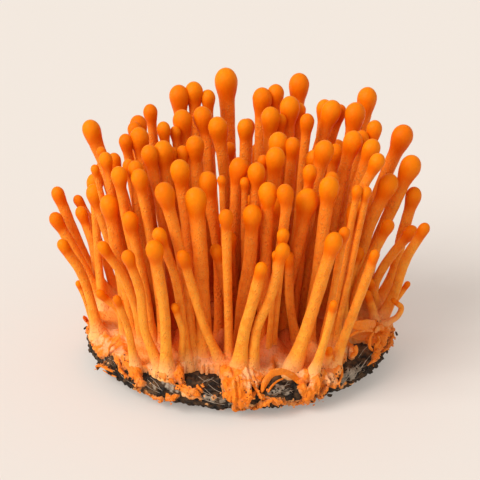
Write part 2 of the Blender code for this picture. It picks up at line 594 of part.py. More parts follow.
# Chips of bark that stick out of the cake below the mat: direction in degrees, height and reach past
# the rim in millimetres.
BARK_CHIPS = [(174, 4.8, 0.7), (-172, 4.6, 0.5), (-161, 4.4, 0.7), (-154, 3.9, 0.4), (-147, 4.2, 0.3),
              (-38, 4.3, 0.3), (-26, 4.0, 0.6), (-15, 4.5, 0.4), (-5, 4.8, 0.8), (7, 4.4, 0.5)]
CHIP_LENGTH = 0.0066
CHIP_WIDTH = 0.0030
CHIP_THICKNESS = 0.0014
CHIP_END_WIDTH = 0.55         # the outer end against the inner one
CHIP_END_THICKNESS = 0.60
CHIP_ROLL = 0.3
CHIP_SKEW = 0.25


def bark_chip(direction, height, reach, guides, material):
    """A blunt wedge of bark, sunk into the side of the cake."""
    bpy.ops.mesh.primitive_cube_add(size=1.0)
    chip = bpy.context.active_object
    for vertex in chip.data.vertices:
        outer = vertex.co.x > 0.0
        vertex.co.x *= CHIP_LENGTH
        vertex.co.y *= CHIP_WIDTH * (CHIP_END_WIDTH if outer else 1.0)
        vertex.co.z *= CHIP_THICKNESS * (CHIP_END_THICKNESS if outer else 1.0)
    angle = math.radians(direction)
    across = RIM_RADIUS * outline_swell(math.cos(angle), math.sin(angle))
    across += reach * MM - 0.5 * CHIP_LENGTH
    chip.location = (across * math.cos(angle), across * math.sin(angle), height * MM)
    skew = CHIP_SKEW * math.sin(3 * direction)
    chip.rotation_euler = (CHIP_ROLL * math.sin(direction), 0.0, angle + skew)
    bpy.context.view_layer.update()
    mesh = baked(chip)
    mesh.transform(chip.matrix_world)
    bpy.data.objects.remove(chip)
    return mesh


def layout():
    """Every stalk's settled centre line and radii, and the stalks that make up each node."""
    stalks = OUTER_STALKS + FRONT_STALKS + INNER_STALKS
    lines = [control_points(stalk) for stalk in stalks]
    lines += fill_stalks([line[0][0] for line in lines])
    seen = np.array([stalk.foot is not None for stalk in stalks] + [False] * (len(lines) - len(stalks)))
    groups, links = gathered(np.array([line[0][0][:2] for line in lines]))
    return settled(lines, groups, links, seen), groups


def build():
    for thing in list(bpy.data.objects):
        bpy.data.objects.remove(thing)
    bunch = bpy.data.collections.new("cordyceps_bunch")
    guides = bpy.data.collections.new("guides")
    bpy.context.scene.collection.children.link(bunch)
    bpy.context.scene.collection.children.link(guides)
    stalk_orange = plain_material("stalk_orange", (0.86, 0.27, 0.03), 0.6)
    mat_orange = plain_material("mat_orange", (0.80, 0.36, 0.14), 0.7)
    substrate_dark = plain_material("substrate_dark", (0.035, 0.025, 0.018), 0.9)

    profile = [(0.0, 0.0), (CUT_RADIUS, 0.0), (WAIST_RADIUS, WAIST_HEIGHT), (SHOULDER_RADIUS, SUBSTRATE_TOP),
               (0.0, SUBSTRATE_TOP)]
    cake = turned("substrate", profile[::-1], reshaped_substrate, bunch, guides, substrate_dark)
    for number, (direction, height, reach) in enumerate(BARK_CHIPS):
        chip = bark_chip(direction, height, reach, guides, substrate_dark)
        join(cake, mesh_object(f"bark_chip_{number + 1}", chip, guides, substrate_dark))

    def reshaped_mat(corner):
        angle = math.atan2(corner.y, corner.x)
        drop = float(np.interp(math.degrees(angle), SKIRT_ANGLES, SKIRT_DROPS))
        reach = math.hypot(corner.x, corner.y)
        rise = corner.z
        if math.isclose(rise, hem_inner[1], abs_tol=1e-6):
            reach -= HEM_INNER_IN * drop
            rise -= HEM_INNER_DOWN * drop
        elif math.isclose(rise, hem_outer[1], abs_tol=1e-6):
            reach -= HEM_OUTER_IN * drop
            rise -= HEM_OUTER_DOWN * drop
        elif math.isclose(rise, rim[1], abs_tol=1e-6):
            rise -= RIM_DOWN * drop
        swell = outline_swell(corner.x, corner.y)
        if rise > MAT_SEAT + CLEARANCE or reach > SHOULDER_RADIUS + HEM_MARGIN:
            for number, phase, share in RIM_WAVES:
                swell += outline_swell(corner.x, corner.y) * share * math.sin(number * angle + phase)
        return Vector((reach * math.cos(angle) * swell, reach * math.sin(angle) * swell, rise))

    hem_inner = (SHOULDER_RADIUS + LIP_REACH, SUBSTRATE_TOP - 0.5 * LIP_REACH)
    hem_outer = (RIM_RADIUS - RIM_INSET, SUBSTRATE_TOP - 1.5 * LIP_REACH)
    rim = (RIM_RADIUS, SUBSTRATE_TOP + CLEARANCE)
    profile = [(0.0, MAT_SEAT), (SHOULDER_RADIUS + LIP_REACH, MAT_SEAT), hem_inner, hem_outer, rim,
               (RIM_RADIUS - RIM_BEVEL, MAT_TOP), (0.0, MAT_TOP)]
    turned("mycelium_mat", profile[::-1], reshaped_mat, bunch, guides, mat_orange)

    lines, groups = layout()
    section = section_curve(guides)
    singles = 0
    tufts = 0
    for group in groups:
        if len(group) == 1:
            singles += 1
            name = f"stalk_{singles:02d}"
        else:
            tufts += 1
            name = f"tuft_{tufts:02d}"
        meshes = []
        for number in group:
            meshes.append(stalk_mesh(f"{name}_{number}", finished_line(*lines[number]), section, guides))
        fused(name, meshes, bunch, guides, stalk_orange)


build()
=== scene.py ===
import math
from collections import namedtuple

import bpy
import numpy as np
from mathutils import Euler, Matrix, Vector


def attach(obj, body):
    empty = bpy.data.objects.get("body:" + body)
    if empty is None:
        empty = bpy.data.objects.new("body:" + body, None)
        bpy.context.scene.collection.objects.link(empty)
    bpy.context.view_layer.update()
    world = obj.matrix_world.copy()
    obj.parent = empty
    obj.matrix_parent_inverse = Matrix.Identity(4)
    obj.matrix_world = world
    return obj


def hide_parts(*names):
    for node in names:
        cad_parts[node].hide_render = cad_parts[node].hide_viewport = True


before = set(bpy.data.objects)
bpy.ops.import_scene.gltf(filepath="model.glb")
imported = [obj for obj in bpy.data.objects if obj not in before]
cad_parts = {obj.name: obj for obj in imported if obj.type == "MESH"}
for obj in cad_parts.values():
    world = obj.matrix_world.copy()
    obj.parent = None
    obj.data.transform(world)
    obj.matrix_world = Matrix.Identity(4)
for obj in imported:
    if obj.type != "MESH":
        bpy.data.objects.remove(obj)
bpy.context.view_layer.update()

# The camera stands where the photograph was taken from: square to the bunch's front, looking down on
# it by 25 degrees from half a metre away, with a long lens.
FRAME_PIXELS = 480.0
FRAME_CENTRE = 0.5 * FRAME_PIXELS
FOCAL_PIXELS = 1852.0
SENSOR_MM = 36.0
VIEW_TILT = math.radians(25.0)
VIEW_DISTANCE = 0.500
VIEW_TARGET = np.array([0.0, 0.0, 0.0352])
VIEW_AHEAD = np.array([0.0, math.cos(VIEW_TILT), -math.sin(VIEW_TILT)])
VIEW_UP = np.array([0.0, math.sin(VIEW_TILT), math.cos(VIEW_TILT)])
VIEW_RIGHT = np.array([1.0, 0.0, 0.0])
VIEW_POINT = VIEW_TARGET - VIEW_DISTANCE * VIEW_AHEAD

camera_data = bpy.data.cameras.new("camera")
camera_data.sensor_width = SENSOR_MM
camera_data.lens = SENSOR_MM * FOCAL_PIXELS / FRAME_PIXELS
camera_data.clip_start = 0.01
camera = bpy.data.objects.new("camera", camera_data)
camera.location = VIEW_POINT
camera.rotation_euler = (0.5 * math.pi - VIEW_TILT, 0.0, 0.0)
bpy.context.scene.collection.objects.link(camera)
bpy.context.scene.camera = camera
bpy.context.scene.view_settings.view_transform = "Standard"

# The stalks' places. Each stalk grows from the mat to a club-shaped head, and stands where the
# photograph shows it; the list and the way it is settled are the same as in the solid model.
MM = 0.001
MAT_TOP = 0.0090
RIM_RADIUS = 0.0416
CLEARANCE = 0.0003            # between the mat's top and a foot's underside
FOOT_LIMIT = 0.0375           # the furthest out that a foot stands, were the cake round
FAN_OUT = 1.18                # depth of a head, as a share of its foot's
HIDDEN_FOOT_PULL = 0.79       # a hidden foot's distance from the middle, as a share of its head's
HIDDEN_RISE = 0.04            # bow of a stalk whose shaft is hidden, as a share of its length
FOOT_FLARE = 1.38             # width of a foot, as a share of its shaft's
FOOT_RISE = 0.0042
NECK_DROP = 0.92              # how far the neck lies below the head's centre, in widths of the head
NECK_RADIUS = 0.335           # the neck's radius and the shaft's width, in widths of the head
SHAFT_SHARE = 0.60
SHAFT_SWELL = 0.12            # how much wider the shaft is at each point up it
NODE_BUDGET = 57
TUFT_LIMIT = 5
CROWDING = 0.0004             # how much further apart feet count for each stalk already in their tufts
FILL_SEED = 11
FILL_SPACING = 0.0056
FILL_TRIES = 700
FILL_FRONT = -0.008
FILL_HEIGHT = 0.047
FILL_LOWER_AT_RIM = 0.010
FILL_LEAN = 1.16
FILL_LEAN_AT_RIM = 0.14
FILL_WIDTHS_MM = (3.4, 5.2)
FILL_BOW = 0.03
FILL_HEIGHT_SHARES = (0.86, 1.06)
FILL_STRAY = 0.0008

# How far back a head stands whose foot is hidden, by its pixel row.
HEAD_ROWS = (70, 80, 100, 120, 140, 160, 180, 195, 215, 265)
HEAD_ROW_DEPTHS_MM = (42, 38, 27, 15, 4, -8, -18, -26, -30, -36)

# The rim's distance from the middle, by direction in degrees: the cake is flatter in front.
RIM_ANGLES = (-180, -165, -150, -134, -121, -107, -90, -72, -56, -42, -29, -15, 0, 12, 30, 60, 90, 120,
              150, 170)
RIM_REACHES_MM = (44.6, 43.0, 41.4, 39.8, 38.4, 37.4, 36.8, 37.2, 37.8, 39.2, 41.2, 42.2, 43.4, 43.2, 41.6,
                  40.4, 40.2, 40.8, 42.4, 44.0)

# Each stalk as read: the centre of its head in pixels and its width, how far the stalk stands
# behind its row, points down its shaft in pixels and its width, the foot in pixels where it shows, and
# the width of a broad foot. Widths and distances are in millimetres.
Stalk = namedtuple("Stalk", "head width behind bends shaft foot base", defaults=(0, (), None, None, None))

OUTER_STALKS = [
    ((58, 194), 3.6, 0, [(72, 228), (88, 262)], 2.6, (101, 300)),
    ((55, 221), 3.8, 0, [(70, 246), (87, 277)], 2.5, (96, 310)),
    ((63, 247), 3.2, 0, [(79, 271), (90, 300)], 2.5, (96, 339)),
    ((78, 282), 1.7, 0, [(84, 296)], 1.3, (89, 331)),
    ((79, 200), 2.8, 0, [(93, 224), (101, 245)], 2.1, (108, 296)),
    ((82, 213), 3.5, 0, [(92, 240), (98, 272)], 2.2, (104, 304)),
    ((102, 249), 3.4, 0, [(118, 272), (134, 312)], 2.4, (141, 352)),
    ((128, 257), 3.8, 0, [(138, 285), (146, 335)], 2.4, (160, 370)),
    ((97, 295), 2.6, 0, [(114, 310)], 1.9, (122, 345)), ((117, 300), 2.4, 0, [(127, 326)], 1.9, (133, 369)),
    ((125, 303), 2.2, 2, (), 1.8, (131, 335)),
    ((95, 196), 4.9, 0, [(106, 232), (118, 268)], 2.7, (128, 320)),
    ((98, 183), 4.6, 0, [(99, 240)], 2.2, (104, 312)),
    ((113, 205), 5.3, 0, [(121, 253), (133, 300)], 2.9, (140, 343)),
    ((131, 222), 4.5, 0, [(142, 270)], 2.6, (156, 352)),
    ((376, 256), 2.8, 0, [(363, 292), (348, 332)], 2.5, (341, 372)),
    ((361, 257), 3.0, 2, [(350, 290)], 1.8, (344, 335)),
    ((389, 226), 3.5, 0, [(373, 255), (359, 290)], 2.4, (352, 330)),
    ((410, 233), 3.6, 0, [(391, 256), (376, 281)], 2.4, (368, 316)),
    ((424, 228), 3.2, 0, [(407, 256), (394, 293)], 2.5, (383, 322)),
    ((413, 195), 4.3, 0, [(402, 235), (391, 277)], 2.8, (383, 309)),
    ((407, 284), 1.7, 0, [(397, 298)], 1.3, (387, 317)),
    ((395, 303), 1.5, 0, [(402, 309), (399, 319)], 1.3, (389, 333)),
    ((370, 283), 2.5, 0, [(375, 296)], 2.0, (380, 321)),
    ((366, 294), 2.2, 0, [(370, 306)], 1.8, (374, 326)),
    ((389, 185), 5.4, 0, [(374, 217), (361, 258)], 3.1, (350, 318)),
    ((411, 168), 5.8, 0, [(395, 204), (376, 248)], 3.3, (360, 313)),
    ((402, 137), 5.9, 0, [(386, 174), (371, 213)], 3.2, (354, 300))]
FRONT_STALKS = [
    ((155, 251), 4.9, 0, [(164, 305)], 2.9, (168, 375)),
    ((161, 236), 4.0, 0.5, [(175, 272), (184, 318)], 2.3, (190, 368)),
    ((183, 258), 3.8, -1.5, [(192, 288), (207, 334)], 2.4, (222, 368)),
    ((196, 200), 6.1, 1, [(201, 262)], 3.9, (205, 362), 6.6),
    ((216, 252), 3.5, -0.5, [(226, 292)], 2.4, (231, 355)),
    ((228, 241), 4.0, 1, [(231, 280)], 2.2, (236, 350)),
    ((257, 217), 5.3, 0, [(254, 262), (246, 310)], 3.3, (243, 360)),
    ((260, 269), 3.5, 0, [(252, 300), (242, 335)], 2.9, (236, 374), 6.6),
    ((284, 251), 4.0, 0, [(274, 290), (258, 331)], 2.7, (254, 374)),
    ((289, 256), 3.2, 3, [(291, 305)], 2.4, (299, 353)),
    ((308, 199), 6.1, 0, [(298, 247), (286, 303)], 3.1, (281, 347)),
    ((325, 202), 4.7, 1, [(315, 247), (305, 300)], 2.9, (300, 344)),
    ((334, 242), 4.9, 0, [(322, 279), (307, 328)], 3.1, (292, 372), 5.2),
    ((356, 211), 5.4, 0, [(345, 256), (337, 308)], 2.9, (334, 349)),
    ((334, 305), 2.4, 0, [(325, 339)], 2.1, (318, 379)), ((330, 350), 1.9, 0, (), 1.7, (327, 367)),
    ((173, 308), 2.2, 0, [(180, 330)], 1.7, (179, 369)),
    ((165, 193), 5.5, 0, [(178, 243), (189, 308)], 2.7, (194, 363)),
    ((206, 179), 5.3, 3, [(215, 240)], 3.0, (219, 343)),
    ((276, 205), 4.7, -1, [(269, 250)], 3.0, (262, 345)),
    ((251, 201), 4.0, 3, [(243, 240)], 2.7, (247, 330))]
INNER_STALKS = [
    ((88, 134), 5.0, 0, [(99, 165)], 3.3), ((101, 150), 2.8), ((109, 157), 3.8), ((123, 144), 3.8),
    ((118, 179), 4.6, 0, [(122, 208)]), ((127, 164), 3.5, 2), ((133, 168), 4.3, 1, [(134, 205)]),
    ((140, 179), 4.7, 0, [(147, 215)]), ((139, 123), 4.6), ((134, 129), 3.8, -1), ((142, 139), 5.3),
    ((148, 152), 4.7, 0, [(154, 184)]), ((156, 113), 3.9), ((162, 132), 3.8), ((164, 152), 5.4),
    ((172, 151), 3.2, 4), ((175, 98), 5.4), ((183, 120), 5.3), ((194, 91), 4.9), ((212, 98), 4.0, 3),
    ((204, 116), 5.3, 0, [(211, 148)]), ((226, 81), 6.1, 0, [(228, 120)], 3.8),
    ((218, 128), 5.3, 0, [(222, 152)]), ((245, 128), 4.3), ((261, 100), 5.3), ((277, 93), 4.6),
    ((268, 121), 5.3), ((299, 85), 5.5), ((291, 106), 5.5), ((300, 109), 3.8, 4), ((281, 122), 3.2, 4),
    ((307, 122), 4.0), ((322, 105), 4.3, 2), ((331, 109), 5.4, 0, [(320, 139)]),
    ((341, 110), 3.8, 3, [(335, 132)]), ((354, 114), 5.7), ((367, 99), 5.5, 0, [(364, 120)]),
    ((373, 128), 4.3), ((353, 142), 5.3, 0, [(346, 165)]), ((361, 139), 4.0, 4),
    ((367, 154), 4.9, 0, [(357, 177)]), ((378, 168), 4.3, 0, [(368, 187)]), ((358, 191), 3.0, 3),
    ((365, 192), 3.0, 4), ((277, 143), 5.5), ((294, 147), 4.3), ((324, 150), 5.4, 0, [(317, 175)]),
    ((281, 162), 5.5), ((310, 172), 4.0), ((257, 172), 4.9), ((265, 161), 3.0, 4),
    ((238, 168), 5.3, 0, [(234, 198)]), ((267, 192), 5.3, 4), ((287, 192), 4.6, 3, [(289, 212)]),
    ((327, 185), 5.5, 3), ((334, 178), 4.0, 4), ((219, 180), 2.4), ((180, 171), 5.5, 0, [(185, 210)]),
    ((198, 146), 5.1), ((187, 151), 3.5, 4), ((175, 133), 3.0, 4), ((89, 166), 2.4, 5),
    ((246, 184), 2.7, 4), ((227, 217), 4.0, 2), ((284, 237), 3.5, 6), ((275, 257), 2.4, 7),
    ((338, 231), 3.2, 5)]


def swell_of(degrees):
    """The cake's reach in a direction, as a share of a round one's."""
    return np.interp(degrees, RIM_ANGLES, RIM_REACHES_MM, period=360.0) * MM / RIM_RADIUS


def swell_towards(places):
    """The cake's reach in the direction of a point, or of many, as a share of a round one's."""
    return swell_of(np.degrees(np.arctan2(places[..., 1], places[..., 0])))


def round_reach(places):
    """How far from the middle a point, or each of many, would be if the cake were round."""
    return np.hypot(places[..., 0], places[..., 1]) / swell_towards(places)


def line_of_sight(pixel):
    """The way that a pixel looks, one unit deep."""
    across = (pixel[0] - FRAME_CENTRE) * VIEW_RIGHT + (FRAME_CENTRE - pixel[1]) * VIEW_UP
    return VIEW_AHEAD + across / FOCAL_PIXELS


def place_at_depth(pixel, depth):
    """The point on a pixel's line of sight that has the given y."""
    line = line_of_sight(pixel)
    return VIEW_POINT + line * (depth - VIEW_POINT[1]) / line[1]


def place_on_mat(pixel):
    """The point of the mat's top that a pixel shows."""
    line = line_of_sight(pixel)
    return VIEW_POINT + line * (MAT_TOP - VIEW_POINT[2]) / line[2]


def pixel_of(places):
    """The column and row of the pixel that shows a point, or those for many points."""
    offset = places - VIEW_POINT
    scale = FOCAL_PIXELS / (offset @ VIEW_AHEAD)
    return FRAME_CENTRE + scale * offset[..., 0], FRAME_CENTRE - scale * (offset @ VIEW_UP)


def length_run(points):
    """How far along a line of points each of them lies."""
    return np.r_[0.0, np.cumsum([math.dist(a, b) for a, b in zip(points, points[1:])])]


def kept_on_mat(foot):
    """A foot moved in, if need be, to stand on the mat, with its underside just clear of it."""
    inward = min(1.0, FOOT_LIMIT / max(round_reach(foot), MM))
    return np.array([foot[0] * inward, foot[1] * inward, MAT_TOP + CLEARANCE])


def control_points(stalk):
    """A stalk's centre line as foot, shaft points, neck and head centre, with a radius at each."""
    if stalk.foot:
        foot = kept_on_mat(place_on_mat(stalk.foot))
        head = place_at_depth(stalk.head, FAN_OUT * foot[1] + stalk.behind * MM)
    else:
        depth = (np.interp(stalk.head[1], HEAD_ROWS, HEAD_ROW_DEPTHS_MM) + stalk.behind) * MM
        head = place_at_depth(stalk.head, depth)
        foot = kept_on_mat(HIDDEN_FOOT_PULL * head)
    scale = np.dot(head - VIEW_POINT, VIEW_AHEAD) / VIEW_DISTANCE
    width = stalk.width * MM * scale
    shaft = (stalk.shaft or SHAFT_SHARE * stalk.width) * MM * scale
    run = length_run([stalk.head, *stalk.bends, pixel_of(foot)])
    middle = []
    for bend, part in zip(stalk.bends, run[1:-1] / run[-1]):
        middle.append(place_at_depth(bend, head[1] + (foot[1] - head[1]) * part))
    if not middle:
        middle = [0.5 * (head + foot) + np.array([0.0, 0.0, HIDDEN_RISE]) * math.dist(head, foot)]
    down = middle[0] - head
    neck = head + down / np.linalg.norm(down) * NECK_DROP * width
    rise = foot + (middle[-1] - foot) * min(0.5, FOOT_RISE / (middle[-1][2] - foot[2]))
    points = [foot] + ([rise] if stalk.foot else []) + middle[::-1] + [neck, head]
    base = stalk.base * MM * scale if stalk.base else shaft * FOOT_FLARE
    radii = [0.5 * base] + ([0.5 * shaft] if stalk.foot else [])
    radii += [0.5 * shaft * (1.0 + SHAFT_SWELL * k) for k in range(len(middle))]
    radii += [max(0.5 * shaft * (1.0 + SHAFT_SWELL), NECK_RADIUS * width), 0.5 * width]
    return points, radii


def fill_stalks(feet):
    """Stalks in the free room that the photograph doesn't show, shorter towards the rim."""
    rng = np.random.default_rng(FILL_SEED)
    found = []
    golden = math.pi * (3.0 - math.sqrt(5.0))
    for step in range(FILL_TRIES):
        reach = FOOT_LIMIT * math.sqrt((step + 0.5) / FILL_TRIES)
        spot = np.array([reach * math.cos(golden * step), reach * math.sin(golden * step)])
        spot = spot * swell_towards(spot)
        nearest = min(math.dist(spot, foot[:2]) for foot in feet)
        if nearest < FILL_SPACING or spot[1] < FILL_FRONT:
            continue
        foot = kept_on_mat(np.array([spot[0], spot[1], 0.0]))
        feet.append(foot)
        share = reach / FOOT_LIMIT
        height = (FILL_HEIGHT - FILL_LOWER_AT_RIM * share ** 3) * rng.uniform(*FILL_HEIGHT_SHARES)
        lean = FILL_LEAN + FILL_LEAN_AT_RIM * share
        head = np.array([foot[0] * lean, foot[1] * lean, foot[2] + height])
        head = head + rng.uniform(-FILL_STRAY, FILL_STRAY, 3)
        width = rng.uniform(*FILL_WIDTHS_MM) * MM
        middle = 0.5 * (head + foot) - np.array([foot[0], foot[1], 0.0]) * FILL_BOW
        neck = head + (middle - head) / np.linalg.norm(middle - head) * NECK_DROP * width
        shaft = SHAFT_SHARE * width
        radii = [0.5 * shaft * FOOT_FLARE, 0.5 * shaft, NECK_RADIUS * width, 0.5 * width]
        found.append(([foot, middle, neck, head], radii))
    return found


# How stalks are moved apart: the number of turns, those in which they are also drawn home and
# strongly straightened, and the shares and limits of each move.
SETTLE_TURNS = 420
HOMING_TURNS = 300
STRAIGHTENING_TURNS = 360
NEIGHBOUR_TURNS = 10          # the list of close pairs is renewed each so many turns
NEIGHBOUR_MARGIN = 0.002      # stalks further apart than this aren't on it
SIDEWAYS_SHARE = 0.30         # how freely a stalk moves across the line of sight
SETTLE_GAP = 0.00048
NUDGE = 1e-7                  # parts two lines that run through one spot
FUSED_HEIGHT = 0.0030         # below this the stalks of one tuft run together
FUSED_FADE = 0.0040
STEP_LIMIT = 0.0005
STEP_EASE = 0.7
HOMING = 0.02                 # how fast a stalk is drawn back across the line of sight
STRAIGHTENING = 0.20
STRAIGHTENING_AT_END = 0.05
HEAD_FOLLOWS = 0.10           # a head keeps in line with its neck
NECK_FOLLOWS = 0.20
SEEN_FOOT_EASE = 0.35         # a foot that the photograph shows moves less
FOOT_TOUCH = 0.66             # distance between joined feet, as a share of their radii
FOOT_TUG = 0.25


def closest_between(start_a, end_a, start_b, end_b):
    """For pairs of straight runs, how far along each the two come closest."""
    along_a = end_a - start_a
    along_b = end_b - start_b
    offset = start_a - start_b
    aa = (along_a * along_a).sum(1)
    bb = (along_b * along_b).sum(1)
    ab = (along_a * along_b).sum(1)
    ca = (along_a * offset).sum(1)
    cb = (along_b * offset).sum(1)
    share_a = np.clip((ab * cb - ca * bb) / np.maximum(aa * bb - ab * ab, 1e-16), 0.0, 1.0)
    share_b = np.clip((ab * share_a + cb) / bb, 0.0, 1.0)
    share_a = np.clip((ab * share_b - ca) / aa, 0.0, 1.0)
    return share_a, share_b


def between(rows, at, share):
    """Rows read off between those at some numbers and the next, by a share for each."""
    return rows[at] * (1 - share) + rows[at + 1] * share


def gathered(feet):
    """Stalks gathered into tufts, nearest feet first, until the nodes fit the budget, and the
    pairs of feet that hold each tuft together."""
    apart = np.sqrt(((feet[:, None] - feet[None]) ** 2).sum(2))
    reach = apart + np.diag(np.full(len(feet), np.inf))
    groups = [[k] for k in range(len(feet))]
    links = []
    while sum(1 for group in groups if group) > NODE_BUDGET:
        sizes = np.array([len(group) or TUFT_LIMIT for group in groups])
        allowed = sizes[:, None] + sizes[None] <= TUFT_LIMIT
        cost = np.where(allowed, reach + CROWDING * (sizes[:, None] + sizes[None]), np.inf)
        a, b = np.unravel_index(np.argmin(cost), cost.shape)
        links.append(min(((i, j) for i in groups[a] for j in groups[b]), key=lambda ij: apart[ij]))
        groups[a] = groups[a] + groups[b]
        groups[b] = []
        reach[a] = np.minimum(reach[a], reach[b])
        reach[:, a] = reach[a]
        reach[a, a] = np.inf
    return [sorted(group) for group in groups if group], links


def settled(lines, groups, links, seen):
    """The centre lines moved apart until no two stalks touch above their feet. They move along the
    line of sight where they can, so that each stays where the photograph shows it."""
    points = np.concatenate([np.array(line[0]) for line in lines])
    radii = np.concatenate([np.array(line[1]) for line in lines])
    owner = np.concatenate([np.full(len(line[0]), k) for k, line in enumerate(lines)])
    group_of = np.zeros(len(lines), int)
    for number, group in enumerate(groups):
        group_of[group] = number
    begin = np.nonzero(owner[:-1] == owner[1:])[0]
    first = np.nonzero(np.diff(owner, prepend=-1))[0]
    inner = np.nonzero((owner[:-2] == owner[1:-1]) & (owner[1:-1] == owner[2:]))[0] + 1
    last = np.append(first[1:], len(points)) - 1
    ease = np.where(seen, SEEN_FOOT_EASE, 1.0)
    home = points.copy()
    ahead = np.outer(VIEW_AHEAD, VIEW_AHEAD)
    loose = ahead + SIDEWAYS_SHARE * (np.eye(3) - ahead)
    for turn in range(SETTLE_TURNS):
        if turn % NEIGHBOUR_TURNS == 0:
            middle = 0.5 * (points[begin] + points[begin + 1])
            half = 0.5 * np.sqrt(((points[begin + 1] - points[begin]) ** 2).sum(1))
            half = half + np.maximum(radii[begin], radii[begin + 1])
            away = np.sqrt(((middle[:, None] - middle[None]) ** 2).sum(2))
            near = away < half[:, None] + half[None] + NEIGHBOUR_MARGIN
            near &= owner[begin][:, None] < owner[begin][None]
            one, two = np.nonzero(near)
            one, two = begin[one], begin[two]
            kin = group_of[owner[one]] == group_of[owner[two]]
        share_one, share_two = closest_between(points[one], points[one + 1], points[two], points[two + 1])
        near_one = between(points, one, share_one[:, None])
        near_two = between(points, two, share_two[:, None])
        need = radii[one] * (1 - share_one) + radii[one + 1] * share_one + SETTLE_GAP
        need = need + radii[two] * (1 - share_two) + radii[two + 1] * share_two
        height = np.minimum(near_one[:, 2], near_two[:, 2]) - MAT_TOP
        need = need * np.where(kin, np.clip((height - FUSED_HEIGHT) / FUSED_FADE, 0.0, 1.0), 1.0)
        apart = near_one - near_two + NUDGE * VIEW_AHEAD
        distance = np.sqrt((apart ** 2).sum(1))
        short = np.maximum(need - distance, 0.0)
        normal = apart / distance[:, None]
        freed = (normal[:, None, :] * loose[None]).sum(2)
        push = freed * (0.5 * short / (freed * normal).sum(1))[:, None]
        shift = np.zeros_like(points)
        for at, share, move in ((one, share_one[:, None], push), (two, share_two[:, None], -push)):
            spread = (1 - share) ** 2 + share ** 2
            np.add.at(shift, at, move * (1 - share) / spread)
            np.add.at(shift, at + 1, move * share / spread)
        length = np.sqrt((shift ** 2).sum(1))
        shift *= np.minimum(1.0, STEP_LIMIT / np.maximum(length, 1e-9))[:, None]
        shift[first] *= ease[:, None]
        points += STEP_EASE * shift
        moved = points - home
        if turn < HOMING_TURNS:
            moved -= HOMING * (moved - (moved[:, None, :] * ahead[None]).sum(2))
        bend = moved[inner - 1] - 2 * moved[inner] + moved[inner + 1]
        moved[inner] += (STRAIGHTENING if turn < STRAIGHTENING_TURNS else STRAIGHTENING_AT_END) * bend
        nod = moved[last] - moved[last - 1]
        moved[last] -= HEAD_FOLLOWS * nod
        moved[last - 1] += NECK_FOLLOWS * nod
        points = home + moved
        for a, b in links:
            gap = points[first[b]] - points[first[a]]
            wide = math.hypot(gap[0], gap[1])
            over = wide - FOOT_TOUCH * (radii[first[a]] + radii[first[b]])
            tug = gap / max(wide, 1e-6) * over * FOOT_TUG
            points[first[a]] += tug * ease[a] / (ease[a] + ease[b])
            points[first[b]] -= tug * ease[b] / (ease[a] + ease[b])
        points[first, 2] = MAT_TOP + CLEARANCE
        limit = swell_towards(points[first]) * FOOT_LIMIT
        out = np.hypot(points[first, 0], points[first, 1])
        points[first, :2] *= np.minimum(1.0, limit / np.maximum(out, MM))[:, None]
    return [(points[a:b + 1], radii[a:b + 1]) for a, b in zip(first, last)]


def layout():
    """Every stalk's settled centre line and radii, and the stalks that make up each node."""
    stalks = [Stalk(*row) for row in OUTER_STALKS + FRONT_STALKS + INNER_STALKS]
    lines = [control_points(stalk) for stalk in stalks]
    lines += fill_stalks([line[0][0] for line in lines])
    seen = np.array([stalk.foot is not None for stalk in stalks] + [False] * (len(lines) - len(stalks)))
    groups, links = gathered(np.array([line[0][0][:2] for line in lines]))
    return settled(lines, groups, links, seen), groups


# The stalks' flesh is firm, matt and faintly translucent, deep orange at the head and paler towards the
# foot, with a fine grain of pores. Each stalk or tuft is one smooth skin in place of its own solid.
SKIN_SIDES = 24
SHAFT_RINGS = 58
CAP_RINGS = 14
PATH_STEPS = 24
HEAD_DROP = 0.60
HEAD_TAPER = 0.95
FOOT_SUNK = 0.0012
FLARE_SHARE = 2.25
FLARE_FALL = 0.0034
BROAD_FOOT = 1.5
BROAD_FLARE_FALL = 0.0060
THINNEST = 0.02 * MM
CALM_HEAD = 1.2                  # head widths from the tip over which the skin's waves die down,
CALMEST = 0.25                   # and the share of them that is left at the tip
SKIN_SEED = 1000
SHADED_REACH = (0.030, 0.018)    # from where to where inwards the other stalks shade a stalk,
SHADED_HEIGHT = (0.056, 0.034)   # and from where to where down
PALE_HEIGHT = 0.060              # height over which the flesh deepens in colour
# Slight bends and swellings of the skin: the strength of each as a share of the radius, and how often
# it comes round the stalk and in each millimetre along it, as an angle.
SKIN_WAVES = ((0.028, 2, 0.11), (0.020, 3, -0.23), (0.018, 0, 0.55), (0.012, 1, 0.9), (0.009, 5, 1.7),
              (0.008, 7, -2.3))


def unit(ways):
    """A direction, or each of many, at a length of one."""
    return ways / np.maximum(np.sqrt((ways ** 2).sum(-1, keepdims=True)), 1e-12)


def ramp(value, none_at, full_at):
    """How far a value has come from one number to another, kept between 0 and 1."""
    return np.clip((value - none_at) / (full_at - none_at), 0.0, 1.0)


def eased(share):
    """A share from 0 to 1 that leaves and arrives softly."""
    share = np.clip(share, 0.0, 1.0)
    return share * share * (3.0 - 2.0 * share)


def once_round(count):
    """Equal steps of angle once round."""
    return np.linspace(0.0, 2.0 * math.pi, count, endpoint=False)


def read_off(reach, run, rows):
    """Points or directions read off between rows, at given lengths along a path."""
    return np.stack([np.interp(reach, run, rows[:, k]) for k in range(3)], axis=1)


def rings_round(middles, across, out, sweep, depth):
    """Rings of points round a line, each point so far across and so far out from the line's own."""
    return middles[:, None] + sweep[..., None] * across[:, None] + depth[..., None] * out[:, None]


